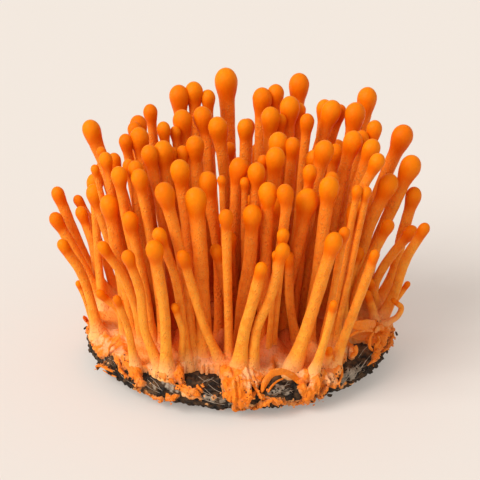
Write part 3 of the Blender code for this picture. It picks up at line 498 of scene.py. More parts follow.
def mark_points(mesh, marks):
    """Gives a mesh named values at its points, for its material to use."""
    for name, values in marks.items():
        layer = mesh.attributes.new(name, "FLOAT", "POINT")
        layer.data.foreach_set("value", np.asarray(values, dtype=np.float32))


def ring_mesh(name, runs, corners=(0, 1, 2, 3)):
    """One mesh over runs of rings of points, each run with marks that hold a value for each ring or
    each point. The corners' order says which way its faces look."""
    points, quads, marks = [], [], {}
    offset = 0
    for rings, values in runs:
        count, sides = rings.shape[:2]
        start = np.arange(count - 1)[:, None] * sides
        here = start + np.arange(sides)
        right = start + (np.arange(sides) + 1) % sides
        around = np.stack([here, right, right + sides, here + sides], axis=2).reshape(-1, 4)
        points.append(rings.reshape(-1, 3))
        quads.append(around[:, corners] + offset)
        for key, value in values.items():
            marks.setdefault(key, []).append(np.repeat(value, count * sides // len(value)))
        offset += count * sides
    points = np.concatenate(points)
    quads = np.concatenate(quads)
    mesh = bpy.data.meshes.new(name)
    mesh.vertices.add(len(points))
    mesh.vertices.foreach_set("co", points.astype(np.float32).ravel())
    mesh.loops.add(quads.size)
    mesh.loops.foreach_set("vertex_index", quads.astype(np.int32).ravel())
    mesh.polygons.add(len(quads))
    mesh.polygons.foreach_set("loop_start", np.arange(0, quads.size, 4, dtype=np.int32))
    mesh.update(calc_edges=True)
    mark_points(mesh, {key: np.concatenate(parts) for key, parts in marks.items()})
    mesh.shade_smooth()
    return mesh


def piece_of(mesh, material):
    """A mesh in its material, put into the scene under its own name."""
    mesh.materials.append(material)
    piece = bpy.data.objects.new(mesh.name, mesh)
    bpy.context.scene.collection.objects.link(piece)
    return piece


def smooth_path(points):
    """A smooth curve through a line's points, and how far along it each of its own lies."""
    spans = np.sqrt((np.diff(points, axis=0) ** 2).sum(1))
    slopes = np.diff(points, axis=0) / spans[:, None]
    before, after = spans[:-1, None], spans[1:, None]
    inner = (slopes[:-1] * after + slopes[1:] * before) / (before + after)
    slopes = np.concatenate([slopes[:1], inner, slopes[-1:]])
    t = np.linspace(0.0, 1.0, PATH_STEPS, endpoint=False)[:, None]
    pieces = []
    for a, b, leave, arrive, span in zip(points, points[1:], slopes, slopes[1:], spans):
        pieces.append(a * (1 + 2 * t) * (1 - t) ** 2 + b * t * t * (3 - 2 * t)
                      + span * (leave * t * (1 - t) ** 2 + arrive * t * t * (t - 1)))
    path = np.concatenate(pieces + [points[-1:]])
    return path, length_run(path)


def stalk_rings(points, radii, number):
    """Rings of skin round one stalk, from just inside the mat to the tip of its head, with the values
    that its material uses at each ring."""
    rng = np.random.default_rng(SKIN_SEED + number)
    width = 2.0 * radii[-1]
    cap = HEAD_DROP * width
    sunk = points[0] - np.array([0.0, 0.0, FOOT_SUNK])
    tip = points[-1] + unit(points[-1] - points[-2]) * cap
    path, run = smooth_path(np.concatenate([[sunk], points, [tip]]))
    on_shaft = np.linspace(0.0, run[-1] - cap, SHAFT_RINGS, endpoint=False)
    on_cap = run[-1] - cap + cap * np.sin(np.linspace(0.0, 0.5 * math.pi, CAP_RINGS))
    reach = np.concatenate([on_shaft, on_cap])
    place = read_off(reach, run, path)
    from_tip = run[-1] - reach

    slim = radii[1] if len(radii) > 3 else radii[0] / FOOT_FLARE
    stops = np.r_[0.0, FOOT_SUNK + length_run(points)]
    shaft = np.interp(reach, stops, np.r_[slim, slim, radii[1:-1], radii[-2]])
    flare = max(radii[0], FLARE_SHARE * slim) - slim
    fall = BROAD_FLARE_FALL if radii[0] > BROAD_FOOT * slim else FLARE_FALL
    shaft = shaft + flare * np.exp(-np.maximum(reach - FOOT_SUNK, 0.0) / fall)
    round_top = np.sqrt(np.maximum(1.0 - (1.0 - from_tip / cap) ** 2, 0.0))
    taper = eased((from_tip - cap) / (HEAD_TAPER * width))
    radius = np.where(from_tip < cap, radii[-1] * round_top, radii[-1] + (shaft - radii[-1]) * taper)
    radius = np.maximum(radius, THINNEST)[:, None]

    tangent = unit(np.gradient(path, axis=0))
    side = np.cross(tangent[0], VIEW_AHEAD)
    sides = []
    for axis in tangent:
        side = unit(side - axis * np.dot(side, axis))
        sides.append(side)
    across = read_off(reach, run, np.array(sides))
    out = np.cross(read_off(reach, run, tangent), across)

    angle = once_round(SKIN_SIDES)
    phases = rng.uniform(0.0, 2.0 * math.pi, 8)
    along = (reach / MM)[:, None]
    waves = sum(strength * np.sin(turns * angle + pace * along + phase)
                for (strength, turns, pace), phase in zip(SKIN_WAVES, phases))
    calm = np.clip(from_tip / (CALM_HEAD * width), CALMEST, 1.0)[:, None]
    skin = radius * (1.0 + waves * calm)
    rings = rings_round(place, across, out, skin * np.cos(angle), skin * np.sin(angle))
    # Painted shade: the flesh is marked to be coloured darker towards the bunch's inside and low down,
    # where the other stalks shade it.
    shaded = ramp(round_reach(place), *SHADED_REACH) * ramp(place[:, 2], *SHADED_HEIGHT)
    return rings, {"inner": shaded, "below_tip": from_tip / width,
                   "above_mat": ramp(place[:, 2] - MAT_TOP, 0.0, PALE_HEIGHT),
                   "tone": np.full(len(reach), rng.uniform())}


def node_output(tree, kind, inputs, output, **settings):
    """An output of a new shader node, with its settings made and its inputs linked or set."""
    node = tree.nodes.new(kind)
    for name, value in settings.items():
        setattr(node, name, value)
    for name, value in inputs.items():
        if isinstance(value, bpy.types.NodeSocket):
            tree.links.new(value, node.inputs[name])
        else:
            node.inputs[name].default_value = value
    return node.outputs[output]


def grain_group():
    """Shader group: soft mottling, fine grain and scattered specks of a given size."""
    group = bpy.data.node_groups.new("grown_grain", "ShaderNodeTree")
    for name, value in (("Mottle Scale", 300.0), ("Grain Scale", 2600.0), ("Speck Scale", 1400.0)):
        socket = group.interface.new_socket(name, in_out="INPUT", socket_type="NodeSocketFloat")
        socket.default_value = value
    for name in ("Mottle", "Grain", "Speck"):
        group.interface.new_socket(name, in_out="OUTPUT", socket_type="NodeSocketFloat")
    entry = group.nodes.new("NodeGroupInput")
    leave = group.nodes.new("NodeGroupOutput")
    place = node_output(group, "ShaderNodeTexCoord", {}, "Object")
    for name, detail in (("Mottle", 3.0), ("Grain", 2.0)):
        inputs = {"Vector": place, "Scale": entry.outputs[name + " Scale"], "Detail": detail}
        noise = node_output(group, "ShaderNodeTexNoise", inputs, "Fac")
        group.links.new(noise, leave.inputs[name])
    inputs = {"Vector": place, "Scale": entry.outputs["Speck Scale"]}
    cells = node_output(group, "ShaderNodeTexVoronoi", inputs, "Distance")
    inputs = {"Value": cells, "From Min": 0.42, "From Max": 0.12}
    dots = node_output(group, "ShaderNodeMapRange", inputs, "Result")
    group.links.new(dots, leave.inputs["Speck"])
    return group


def placed_grain(tree, mottle, grain, speck):
    """The mottling, grain and specks of the shader group, each at its own scale."""
    node = tree.nodes.new("ShaderNodeGroup")
    node.node_tree = grown_grain
    for name, value in (("Mottle Scale", mottle), ("Grain Scale", grain), ("Speck Scale", speck)):
        node.inputs[name].default_value = value
    return node.outputs["Mottle"], node.outputs["Grain"], node.outputs["Speck"]


def mixed(tree, share, first, second):
    """A colour between two, each a socket or a plain colour, by a share from another socket."""
    first, second = ((*c, 1.0) if isinstance(c, tuple) else c for c in (first, second))
    inputs = {"Factor": share, "A": first, "B": second}
    return node_output(tree, "ShaderNodeMix", inputs, "Result", data_type="RGBA")


def ranged(tree, value, low, high, out_low=0.0, out_high=1.0):
    """A socket's value taken smoothly from one range to another."""
    inputs = {"Value": value, "From Min": low, "From Max": high, "To Min": out_low, "To Max": out_high}
    return node_output(tree, "ShaderNodeMapRange", inputs, "Result", interpolation_type="SMOOTHSTEP")


def combined(tree, operation, first, second):
    """Two sockets, or a socket and a number, put through one sum."""
    return node_output(tree, "ShaderNodeMath", {0: first, 1: second}, "Value", operation=operation)


def times(tree, first, second):
    """Two masks multiplied, or one with a number."""
    return combined(tree, "MULTIPLY", first, second)


def added(tree, first, *others):
    """Sockets added up, each as it is or as a pair with the number that it counts by."""
    total = times(tree, *first) if isinstance(first, tuple) else first
    for term in others:
        total = combined(tree, "ADD", total, times(tree, *term) if isinstance(term, tuple) else term)
    return total


def marked(tree, name):
    """The value that a mesh carries at each point under a name."""
    return node_output(tree, "ShaderNodeAttribute", {}, "Fac", attribute_name=name)


def painted(tree, colour, *layers):
    """A colour with others laid over it. Each layer is its mask and its colour, and where the mask
    comes up over a range, the two ends of that range and how much the layer covers at most."""
    for mask, over, *span in layers:
        if span:
            low, high, most = span
            mask = ranged(tree, mask, low, high, 0.0, most)
        colour = mixed(tree, mask, colour, over)
    return colour


def bumped(tree, height, strength, depth):
    """A surface normal from a height, for a relief of the given strength and depth."""
    inputs = {"Strength": strength, "Distance": depth, "Height": height}
    return node_output(tree, "ShaderNodeBump", inputs, "Normal")


def new_material(name, settings):
    """A new material and its node tree, with the settings that are the same all over its surface."""
    material = bpy.data.materials.new(name)
    material.use_nodes = True
    for socket, value in settings.items():
        material.node_tree.nodes["Principled BSDF"].inputs[socket].default_value = value
    return material, material.node_tree


def surfaced(tree, colour, roughness, normal):
    """Joins a colour, a roughness and a normal to a material's shader."""
    shader = tree.nodes["Principled BSDF"]
    for name, socket in (("Base Color", colour), ("Roughness", roughness), ("Normal", normal)):
        tree.links.new(socket, shader.inputs[name])


grown_grain = grain_group()
flesh, tree = new_material("stalk_flesh", {
    "Specular IOR Level": 0.07, "Subsurface Weight": 0.14, "Subsurface Radius": (1.0, 0.32, 0.07),
    "Subsurface Scale": 0.0010})
mottle, grain, speck = placed_grain(tree, 420.0, 3400.0, 1500.0)
streaks, _, pores = placed_grain(tree, 900.0, 5200.0, 2100.0)
above_mat = marked(tree, "above_mat")
edge_at = added(tree, marked(tree, "below_tip"), ranged(tree, mottle, 0.3, 0.7, -0.14, 0.14))
on_shaft = ranged(tree, edge_at, 1.00, 1.95)
pits = times(tree, ranged(tree, pores, 0.50, 0.90), ranged(tree, grain, 0.43, 0.58, 0.0, 0.75))
pits = times(tree, pits, ranged(tree, above_mat, 0.15, 0.55, 0.35, 1.0))
head_colour = painted(
    tree, (0.83, 0.165, 0.0010),
    (marked(tree, "tone"), (0.91, 0.232, 0.0020)),
    # the head deepens towards its neck: partly the flesh's own colour, partly painted shade under its lit
    # top
    (edge_at, (0.78, 0.112, 0.0004), 0.30, 1.20, 0.75))
shaft_colour = painted(
    tree, (1.0, 0.360, 0.036),
    (above_mat, (0.98, 0.265, 0.020), 0.10, 0.80, 1.0),
    (mottle, (0.84, 0.165, 0.005), 0.40, 0.66, 0.40),
    (times(tree, speck, 0.50), (0.98, 0.44, 0.08)),
    (pits, (0.66, 0.100, 0.004)),
    (above_mat, (1.0, 0.460, 0.150), 0.12, 0.02, 1.0),
    # painted shade of the other stalks, deepest in the bunch's inside
    (times(tree, marked(tree, "inner"), 0.70), (0.66, 0.075, 0.002)))
skin_relief = times(tree, combined(tree, "SUBTRACT", speck, pits), on_shaft)
skin_relief = added(tree, skin_relief, (grain, 0.45), (streaks, 0.6))
surfaced(tree, mixed(tree, on_shaft, head_colour, shaft_colour), ranged(tree, mottle, 0.3, 0.7, 0.38, 0.50),
         bumped(tree, skin_relief, 0.90, 0.00020))

stalk_lines, stalk_groups = layout()
counts = {"stalk": 0, "tuft": 0}
for group in stalk_groups:
    kind = "stalk" if len(group) == 1 else "tuft"
    counts[kind] += 1
    node = f"{kind}_{counts[kind]:02d}"
    runs = [stalk_rings(*stalk_lines[k], k) for k in group]
    piece = piece_of(ring_mesh(node + "_flesh", runs), flesh)
    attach(piece, "root")
    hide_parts(node)

# The mycelium mat is a felted skin of orange fungus that covers the top of the cake and hangs over its
# side in uneven lobes. It rises in smooth webs round the stalks' feet.
MAT_ROUND = 720
MAT_FLAT_RINGS = 40
MAT_EDGE_RINGS = 44
MAT_SIDE_RINGS = 34
MAT_HEM_RINGS = 10
MAT_SEED = 5
MIDDLE_REACH = 0.0005
FACING_OUT = (0, 3, 2, 1)     # corners of a face in a skin that runs outwards from the middle
SHOULDER_REACH = 0.0330
EDGE_REACHES = (0.0330, 0.0362, 0.0382, 0.0395, 0.0402, 0.0404)
EDGE_HEIGHTS = (0.0090, 0.0089, 0.0083, 0.0073, 0.0062, 0.0052)
SIDE_HEIGHTS = (0.0, 0.0026, 0.0052, 0.0062, 0.0073, 0.0083, 0.0090)
SIDE_REACHES = (0.0330, 0.0378, 0.0404, 0.0402, 0.0395, 0.0382, 0.0330)
SIGHT_DEPTHS = np.linspace(0.42, 0.58, 3200)[:, None]   # where along a line of sight the bunch may be
HEM_DEEPEST = 0.0046
HEM_THICKNESS = 0.0008
HEM_RADIUS = 0.04
WEB_HEIGHT = 0.0034
WEB_REACH = 0.0017
TONGUE_FOOT_REACH = 0.024     # feet further out than this send a tongue of mat down over the rim
TONGUE_SURE_REACH = 0.037     # tongues grow longer by what their foot lacks to this
TONGUE_LENGTHS = (0.0060, 0.0125)
TONGUE_START = 0.003
TONGUE_FADE = 0.0022
TONGUE_BEND = 0.35
TONGUE_SWAY = 0.0004
TONGUE_SWAY_LENGTH = 0.0012
TONGUE_RISE = 1.05
ROOT_STRAY = 0.0006
ROOT_STEP = 1.5               # pixels from one point of a root to the next
RETREAT = 0.0022              # how far the skin draws back into the cake where it is missing
LOWEST_SKIN = 0.0003
# Ranges over which a share of the mat comes up: how far back the photograph stops showing it, where
# its rim is, how far down its skin ends at the back, and where the stalks over it shade it.
MAT_UNSEEN = (0.006, 0.012)
MAT_RIM = (0.030, 0.039)
MAT_BACK_EDGE = (0.0370, 0.0390)
MAT_SHADED = (0.032, 0.024)
# How far the hem hangs down the side, as a share of the deepest, by direction in degrees.
SKIRT_ANGLES = (-180, -165, -140, -129, -117, -112, -107, -101, -95, -88, -83, -78, -60, -50, -43, -25, 0,
                30, 60, 90, 120, 150, 180)
SKIRT_DROPS = (0.2, 0.1, 0.2, 0.9, 0.8, 0.4, 0.7, 0.2, 0.9, 0.9, 0.3, 0.9, 0.95, 0.6, 0.15, 0.1, 0.1,
               0.3, 0.7, 0.3, 0.8, 0.3, 0.2)

# Smooth webs that rise between the feet, as read: the pixel where each stands, and radius and
# height in millimetres.
MAT_MOUNDS = [
    (205, 360, 2.6, 5.5), (172, 362, 1.8, 3.0), (222, 352, 2.0, 4.0), (270, 358, 3.6, 4.5),
    (285, 352, 3.0, 4.5), (312, 362, 2.4, 4.0), (345, 345, 2.2, 3.5), (104, 328, 2.4, 3.0),
    (135, 338, 2.2, 3.5), (156, 345, 1.6, 3.0), (240, 345, 3.0, 4.0), (180, 345, 2.0, 3.5)]
# Paler patches of young skin, as read: the pixel, and a radius in pixels.
CREAM_PATCHES = [
    (98, 340, 6), (108, 347, 7), (120, 352, 5), (160, 353, 5), (205, 360, 9), (197, 350, 7), (212, 347, 6),
    (248, 374, 7), (253, 385, 6), (262, 364, 9), (284, 362, 8), (270, 350, 9), (318, 364, 6), (331, 379, 6),
    (345, 377, 5), (150, 367, 4), (184, 363, 4), (300, 374, 5), (126, 337, 5), (172, 366, 5), (310, 384, 4),
    (236, 348, 5), (348, 350, 4), (112, 330, 6)]
# The mat's lower edge in front as read, in pixels: below it the dark cake shows, apart from the
# lobes and roots that run down over it. Each of those is a line of pixels with a width and a rise in
# millimetres.
MAT_EDGE = [
    (80, 318), (92, 346), (100, 357), (110, 355), (118, 356), (128, 362), (134, 368), (140, 372),
    (152, 375), (160, 380), (168, 380), (176, 378), (184, 374), (190, 371), (205, 371), (215, 371),
    (222, 372), (230, 385), (240, 393), (250, 385), (258, 386), (268, 378), (275, 371), (285, 371),
    (293, 375), (298, 382), (305, 385), (315, 385), (325, 382), (335, 374), (342, 364), (347, 355),
    (350, 345), (358, 342), (366, 342), (372, 346), (380, 350), (386, 338), (392, 328), (400, 318)]
MAT_ROOTS = [
    ([(92, 300), (97, 322), (104, 338), (108, 346)], 3.0, 0.9),
    ([(90, 330), (95, 343), (101, 353)], 2.4, 0.5), ([(112, 344), (116, 353), (118, 364)], 1.5, 0.7),
    ([(118, 343), (124, 358), (133, 372), (141, 386)], 3.3, 1.3), ([(119, 364), (126, 378)], 1.2, 0.6),
    ([(100, 365), (108, 368), (113, 371)], 0.8, 0.6),
    ([(148, 345), (160, 362), (166, 374), (168, 378)], 2.8, 0.8),
    ([(176, 360), (180, 375), (183, 384)], 1.8, 0.9), ([(192, 366), (205, 371), (220, 366)], 1.4, 0.5),
    ([(224, 366), (226, 378), (232, 392), (240, 402)], 3.0, 1.1),
    ([(236, 362), (240, 380), (246, 398)], 3.2, 1.5), ([(221, 372), (224, 386), (231, 396)], 1.7, 1.3),
    ([(230, 364), (231, 380), (235, 398)], 1.5, 1.9), ([(242, 372), (248, 386), (251, 398)], 1.7, 1.5),
    ([(226, 396), (237, 403), (248, 402)], 2.0, 1.0), ([(236, 385), (242, 396)], 1.6, 2.1),
    ([(300, 392), (306, 399), (314, 397)], 2.2, 1.0), ([(322, 376), (327, 386), (319, 396)], 2.0, 1.0),
    ([(306, 378), (303, 390)], 1.8, 1.2), ([(330, 378), (337, 385)], 1.8, 0.8),
    ([(180, 387), (184, 391), (191, 396)], 1.5, 0.4), ([(196, 388), (203, 391)], 1.0, 0.3),
    ([(385, 334), (378, 350), (374, 360)], 1.6, 0.8), ([(250, 376), (256, 387), (262, 397)], 1.3, 0.8),
    ([(138, 388), (150, 395), (165, 398), (178, 397)], 1.3, 0.9),
    ([(176, 389), (190, 391), (200, 396)], 1.9, 0.7), ([(232, 406), (250, 408), (262, 404)], 1.5, 0.9),
    ([(262, 404), (275, 400), (290, 402), (305, 402)], 1.4, 0.9), ([(296, 365), (292, 372)], 3.0, 0.6),
    ([(318, 377), (314, 388), (306, 399)], 3.0, 1.1), ([(300, 388), (306, 392)], 2.2, 0.8),
    ([(322, 348), (320, 365), (322, 382)], 1.6, 0.7), ([(330, 358), (337, 372), (332, 386)], 2.0, 0.8),
    ([(341, 348), (342, 360), (337, 376)], 1.8, 0.8), ([(353, 348), (351, 357)], 1.6, 1.2),
    ([(374, 330), (381, 345), (378, 357), (371, 362)], 1.4, 0.9),
    ([(388, 322), (384, 338), (379, 350)], 2.0, 0.8), ([(392, 330), (388, 345), (382, 354)], 1.1, 0.6),
    ([(160, 385), (172, 383), (180, 388)], 1.0, 0.3), ([(205, 386), (216, 381), (221, 388)], 0.9, 0.3)]


def lumps(places, size, seed):
    """Soft random lumps of one size, from -1 to 1, at each of many places."""
    spot = places / size + 31.7 * seed
    cell = np.floor(spot).astype(np.int64)
    share = eased(spot - cell)
    total = np.zeros(len(places))
    for corner in np.ndindex(2, 2, 2):
        x, y, z = (cell + corner).T
        hashed = (x * 73856093) ^ (y * 19349663) ^ (z * 83492791) ^ (seed * 7919)
        hashed = ((hashed ^ (hashed >> 13)) * 1274126177) & 0xFFFFFFFF
        hashed = ((hashed ^ (hashed >> 15)) * 2246822519) & 0xFFFFFFFF
        value = (hashed >> 8 & 0xFFFF) / 32767.5 - 1.0
        total += value * np.prod(np.where(corner, share, 1.0 - share), axis=1)
    return total


def layered(places, *layers):
    """Lumps of several sizes added up, each layer given as its strength, size and seed."""
    return sum(strength * lumps(places, size, seed) for strength, size, seed in layers)


def place_on_side(pixel, furthest_in=RIM_RADIUS):
    """The point of the cake's or the mat's outside that a pixel shows, or one above the mat's edge that
    stands no further in from its rim than the given distance."""
    path = VIEW_POINT + line_of_sight(pixel) * SIGHT_DEPTHS
    reach = round_reach(path)
    height = np.clip(path[:, 2], 0.0, MAT_TOP)
    beyond = reach - np.interp(height, SIDE_HEIGHTS, SIDE_REACHES) + np.abs(path[:, 2] - height)
    beyond = np.minimum(beyond, reach - EDGE_REACHES[-1] + furthest_in)
    beyond[path[:, 2] < 0.0] = 1.0
    if beyond.min() < 0.0:
        return path[np.argmax(beyond < 0.0)]
    return path[np.argmin(beyond)]


def swept_grid(turn, reaches, heights):
    """Points of a skin swept round the cake's outline, in a ring for each row of reaches and heights."""
    reaches = reaches * swell_of(np.degrees(turn))
    heights = np.broadcast_to(heights, reaches.shape)
    return np.stack([reaches * np.cos(turn), reaches * np.sin(turn), heights], axis=2)


def facing_of(grid):
    """The direction that a swept skin faces at each of its points."""
    down = np.gradient(grid, axis=0)
    ahead = np.roll(grid, -1, axis=1) - np.roll(grid, 1, axis=1)
    return unit(np.cross(down, ahead))


def patches_over(places, patches):
    """How much each place is covered by round patches with soft edges, given as centres and radii."""
    covered = np.zeros(len(places))
    for centre, radius in patches:
        covered = np.maximum(covered, np.exp(-((places - centre) ** 2).sum(1) / radius ** 2))
    return covered


turn = np.linspace(-math.pi, math.pi, MAT_ROUND, endpoint=False)
around = np.stack([np.cos(turn), np.sin(turn), np.zeros(MAT_ROUND)], axis=1)
drop = np.interp(np.degrees(turn), SKIRT_ANGLES, SKIRT_DROPS)
drop = np.clip(drop + layered(around * HEM_RADIUS, (0.30, 0.0016, 3), (0.18, 0.0006, 4)), 0.02, 1.0)
hem = EDGE_HEIGHTS[-1] - HEM_DEEPEST * drop
flat = np.linspace(MIDDLE_REACH, SHOULDER_REACH, MAT_FLAT_RINGS, endpoint=False)
knots = np.arange(len(EDGE_REACHES))
edge = np.linspace(0.0, knots[-1], MAT_EDGE_RINGS, endpoint=False)
reach_rows = [np.full(MAT_ROUND, reach) for reach in np.r_[flat, np.interp(edge, knots, EDGE_REACHES)]]
height_rows = [np.full(MAT_ROUND, MAT_TOP)] * MAT_FLAT_RINGS
height_rows += [np.full(MAT_ROUND, height) for height in np.interp(edge, knots, EDGE_HEIGHTS)]
for share in np.linspace(0.0, 1.0, MAT_SIDE_RINGS, endpoint=False):
    height = EDGE_HEIGHTS[-1] + (hem - EDGE_HEIGHTS[-1]) * share
    height_rows.append(height)
    reach_rows.append(np.interp(height, SIDE_HEIGHTS, SIDE_REACHES))
hem_reach = np.interp(hem, SIDE_HEIGHTS, SIDE_REACHES)
for bend in np.linspace(0.0, 1.5 * math.pi, MAT_HEM_RINGS):
    height_rows.append(hem - 0.5 * HEM_THICKNESS * np.sin(bend))
    reach_rows.append(hem_reach - 0.5 * HEM_THICKNESS * (1 - np.cos(bend)))
reach_rows, height_rows = np.array(reach_rows), np.array(height_rows)
mat_grid = swept_grid(turn, reach_rows, height_rows)
facing = facing_of(mat_grid)
places = mat_grid.reshape(-1, 3)
unseen = ramp(places[:, 1], *MAT_UNSEEN)
rim_share = ramp(reach_rows.ravel(), *MAT_RIM)
# Painted shade: the mat is marked to be coloured darker inwards, where the stalks over it shade it.
shaded = ramp(round_reach(places), *MAT_SHADED)

# Tongues of the mat run out from the feet that stand near its rim, and down over it.
feet = [(points[0], radii[0]) for points, radii in stalk_lines]
rng = np.random.default_rng(MAT_SEED)
run_along = np.repeat(length_run(np.stack([reach_rows.mean(1), height_rows.mean(1)], axis=1)), MAT_ROUND)
turn_each = np.tile(turn, len(reach_rows))
reach_each = np.hypot(places[:, 0], places[:, 1])
tongues = np.zeros(len(places))
for foot, radius in feet:
    foot_reach = round_reach(foot)
    if foot_reach < TONGUE_FOOT_REACH:
        continue
    along = run_along - foot_reach
    length = rng.uniform(*TONGUE_LENGTHS) + max(0.0, TONGUE_SURE_REACH - foot_reach)
    bend = rng.uniform(-TONGUE_BEND, TONGUE_BEND)
    sway = TONGUE_SWAY * np.sin(along / TONGUE_SWAY_LENGTH + rng.uniform(0.0, 6.0))
    aside = (turn_each - math.atan2(foot[1], foot[0]) + math.pi) % (2.0 * math.pi) - math.pi
    aside = aside * reach_each - bend * along - sway
    fade = ramp(along, length, length - TONGUE_FADE) * ramp(along, -TONGUE_START, 0.0)
    slim = radius * (1.05 - 0.35 * ramp(along, 0.0, length))
    tongues = np.maximum(tongues, fade * np.exp(-(aside / slim) ** 2))
tongues = tongues * (0.35 + 0.65 * unseen)

# Roots and lobes follow the lines read from the photograph, a little crumpled.
roots = np.zeros(len(places))
root_rise = np.zeros(len(places))
crumpled = places + ROOT_STRAY * np.stack([lumps(places, 0.0021, 31 + k) for k in range(3)], axis=1)
for trail, width, height in MAT_ROOTS:
    stops = length_run(trail)
    for stop in np.arange(0.0, stops[-1], ROOT_STEP):
        pixel = [np.interp(stop, stops, row) for row in zip(*trail)]
        apart = ((crumpled - place_on_side(pixel)) ** 2).sum(1)
        mound = np.exp(-(apart / (0.5 * width * MM) ** 2) ** 1.3)
        roots = np.maximum(roots, mound)
        root_rise = np.maximum(root_rise, mound * height)
root_rise = root_rise * (1.0 + 0.45 * lumps(places, 0.0013, 34))

# The skin covers the cake down to its torn edge, and is missing in patches near it.
pixel_x, pixel_y = pixel_of(places)
torn = layered(places, (3.2, 0.0014, 27), (2.0, 0.0006, 28))
band_front = ramp(pixel_y - np.interp(pixel_x, *zip(*MAT_EDGE)) + torn, -2.0, 2.0)
band_back = ramp(run_along - 0.0015 * lumps(places, 0.005, 24), *MAT_BACK_EDGE)
band = band_front * (1.0 - unseen) + band_back * unseen
patchy = layered(places, (0.55, 0.0040, 21), (0.40, 0.0016, 22), (0.34, 0.0007, 23), (0.22, 0.0004, 26))
cover = 0.75 + 0.55 * patchy - 1.75 * band + 1.6 * roots + 1.4 * tongues
skin = eased(cover / 0.26)

# Folds and wrinkles lift it, webs and mounds stand round the feet, and where it is missing it draws in.
folds = layered(places, (0.34, 0.0036, 5), (0.24, 0.0015, 6), (0.13, 0.0007, 7))
wrinkles = np.abs(lumps(places * np.array([1.0, 1.0, 0.4]), 0.0010, 8)) - 0.3
folds = folds + 0.9 * roots * wrinkles
# Painted shade: the hollows of the folds are coloured darker, more so towards the rim.
crease_shade = np.clip(-1.4 * folds - 0.1, 0.0, 1.0) * (0.35 + 0.65 * rim_share)
rise = MM * skin * (0.10 + TONGUE_RISE * tongues + root_rise + folds * (0.4 + 0.6 * rim_share))
webs = np.zeros(len(places))
for foot, radius in feet:
    away = np.hypot(places[:, 0] - foot[0], places[:, 1] - foot[1])
    webs += np.exp(-np.maximum(away - 0.7 * radius, 0.0) / WEB_REACH)
webs = 1.0 - np.exp(-webs)
mounds = np.zeros(len(places))
for x, y, radius, height in MAT_MOUNDS:
    apart = ((places - place_on_mat((x, y)))[:, :2] ** 2).sum(1)
    mounds = np.maximum(mounds, height * MM * np.exp(-apart / (radius * MM) ** 2))
drawn_in = facing.copy()
drawn_in[-MAT_HEM_RINGS:] = facing[-MAT_HEM_RINGS - 1]
grown = places + facing.reshape(-1, 3) * rise[:, None]
grown = grown - drawn_in.reshape(-1, 3) * (RETREAT * (1.0 - skin))[:, None]
grown[:, 2] += skin * mounds * (1.0 - rim_share) * (places[:, 2] > 0.0080)
grown[:, 2] += skin * WEB_HEIGHT * webs * (1.0 - 0.5 * rim_share) * (places[:, 2] > 0.0065)
grown[:, 2] = np.maximum(grown[:, 2], LOWEST_SKIN)
cream = patches_over(np.stack(pixel_of(grown), axis=1), [((x, y), size) for x, y, size in CREAM_PATCHES])
cream = cream * (1.0 - unseen) + unseen * np.clip(1.4 * lumps(places, 0.005, 25) - 0.2, 0.0, 1.0)
mat_edge = grown[(cover > 0.06) & (cover < 0.75) & (rim_share > 0.7) & (grown[:, 2] > 0.0004)]
mat_marks = {"near_foot": webs, "tongue": np.maximum(tongues, roots), "cover": cover, "rim": rim_share,
             "crease_shade": crease_shade, "inner": shaded, "cream": cream}
mat_run = (grown.reshape(mat_grid.shape), mat_marks)

felt, tree = new_material("mycelium_felt", {
    "Specular IOR Level": 0.20, "Subsurface Weight": 0.15, "Subsurface Radius": (1.0, 0.35, 0.10),
    "Subsurface Scale": 0.0008})
mottle, grain, speck = placed_grain(tree, 330.0, 2600.0, 700.0)
patches, fibres, pores = placed_grain(tree, 150.0, 900.0, 1700.0)
young = added(tree, marked(tree, "cream"), ranged(tree, fibres, 0.3, 0.7, -0.25, 0.25))
specks = times(tree, ranged(tree, speck, 0.45, 0.80), ranged(tree, mottle, 0.47, 0.56))
specks = times(tree, specks, ranged(tree, marked(tree, "rim"), 0.35, 0.8, 0.0, 0.95))
felt_colour = painted(
    tree, (0.88, 0.215, 0.012),
    (patches, (0.90, 0.305, 0.050), 0.42, 0.60, 1.0),
    (marked(tree, "near_foot"), (0.98, 0.450, 0.145), 0.35, 0.85, 0.80),
    (marked(tree, "tongue"), (0.90, 0.215, 0.007), 0.20, 0.60, 0.85),
    (mottle, (0.92, 0.400, 0.115), 0.56, 0.70, 0.60),
    (young, (0.92, 0.500, 0.230), 0.15, 0.75, 0.75),
    # painted shade in the hollows of the folds and at the strips' ends
    (marked(tree, "crease_shade"), (0.56, 0.095, 0.004), 0.10, 0.75, 0.85),
    (marked(tree, "cover"), (0.60, 0.30, 0.13), 0.50, 0.02, 0.65),
    # painted shade of the stalks over the mat
    (times(tree, marked(tree, "inner"), 0.85), (0.62, 0.085, 0.003)),
    (specks, (0.16, 0.035, 0.012)))
felt_relief = added(tree, (fibres, 1.3), (grain, 0.6), (pores, -0.45))
surfaced(tree, felt_colour, ranged(tree, fibres, 0.3, 0.7, 0.48, 0.72),
         bumped(tree, felt_relief, 0.85, 0.00036))
mat = piece_of(ring_mesh("mycelium_mat_skin", [mat_run], FACING_OUT), felt)
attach(mat, "root")
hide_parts("mycelium_mat")
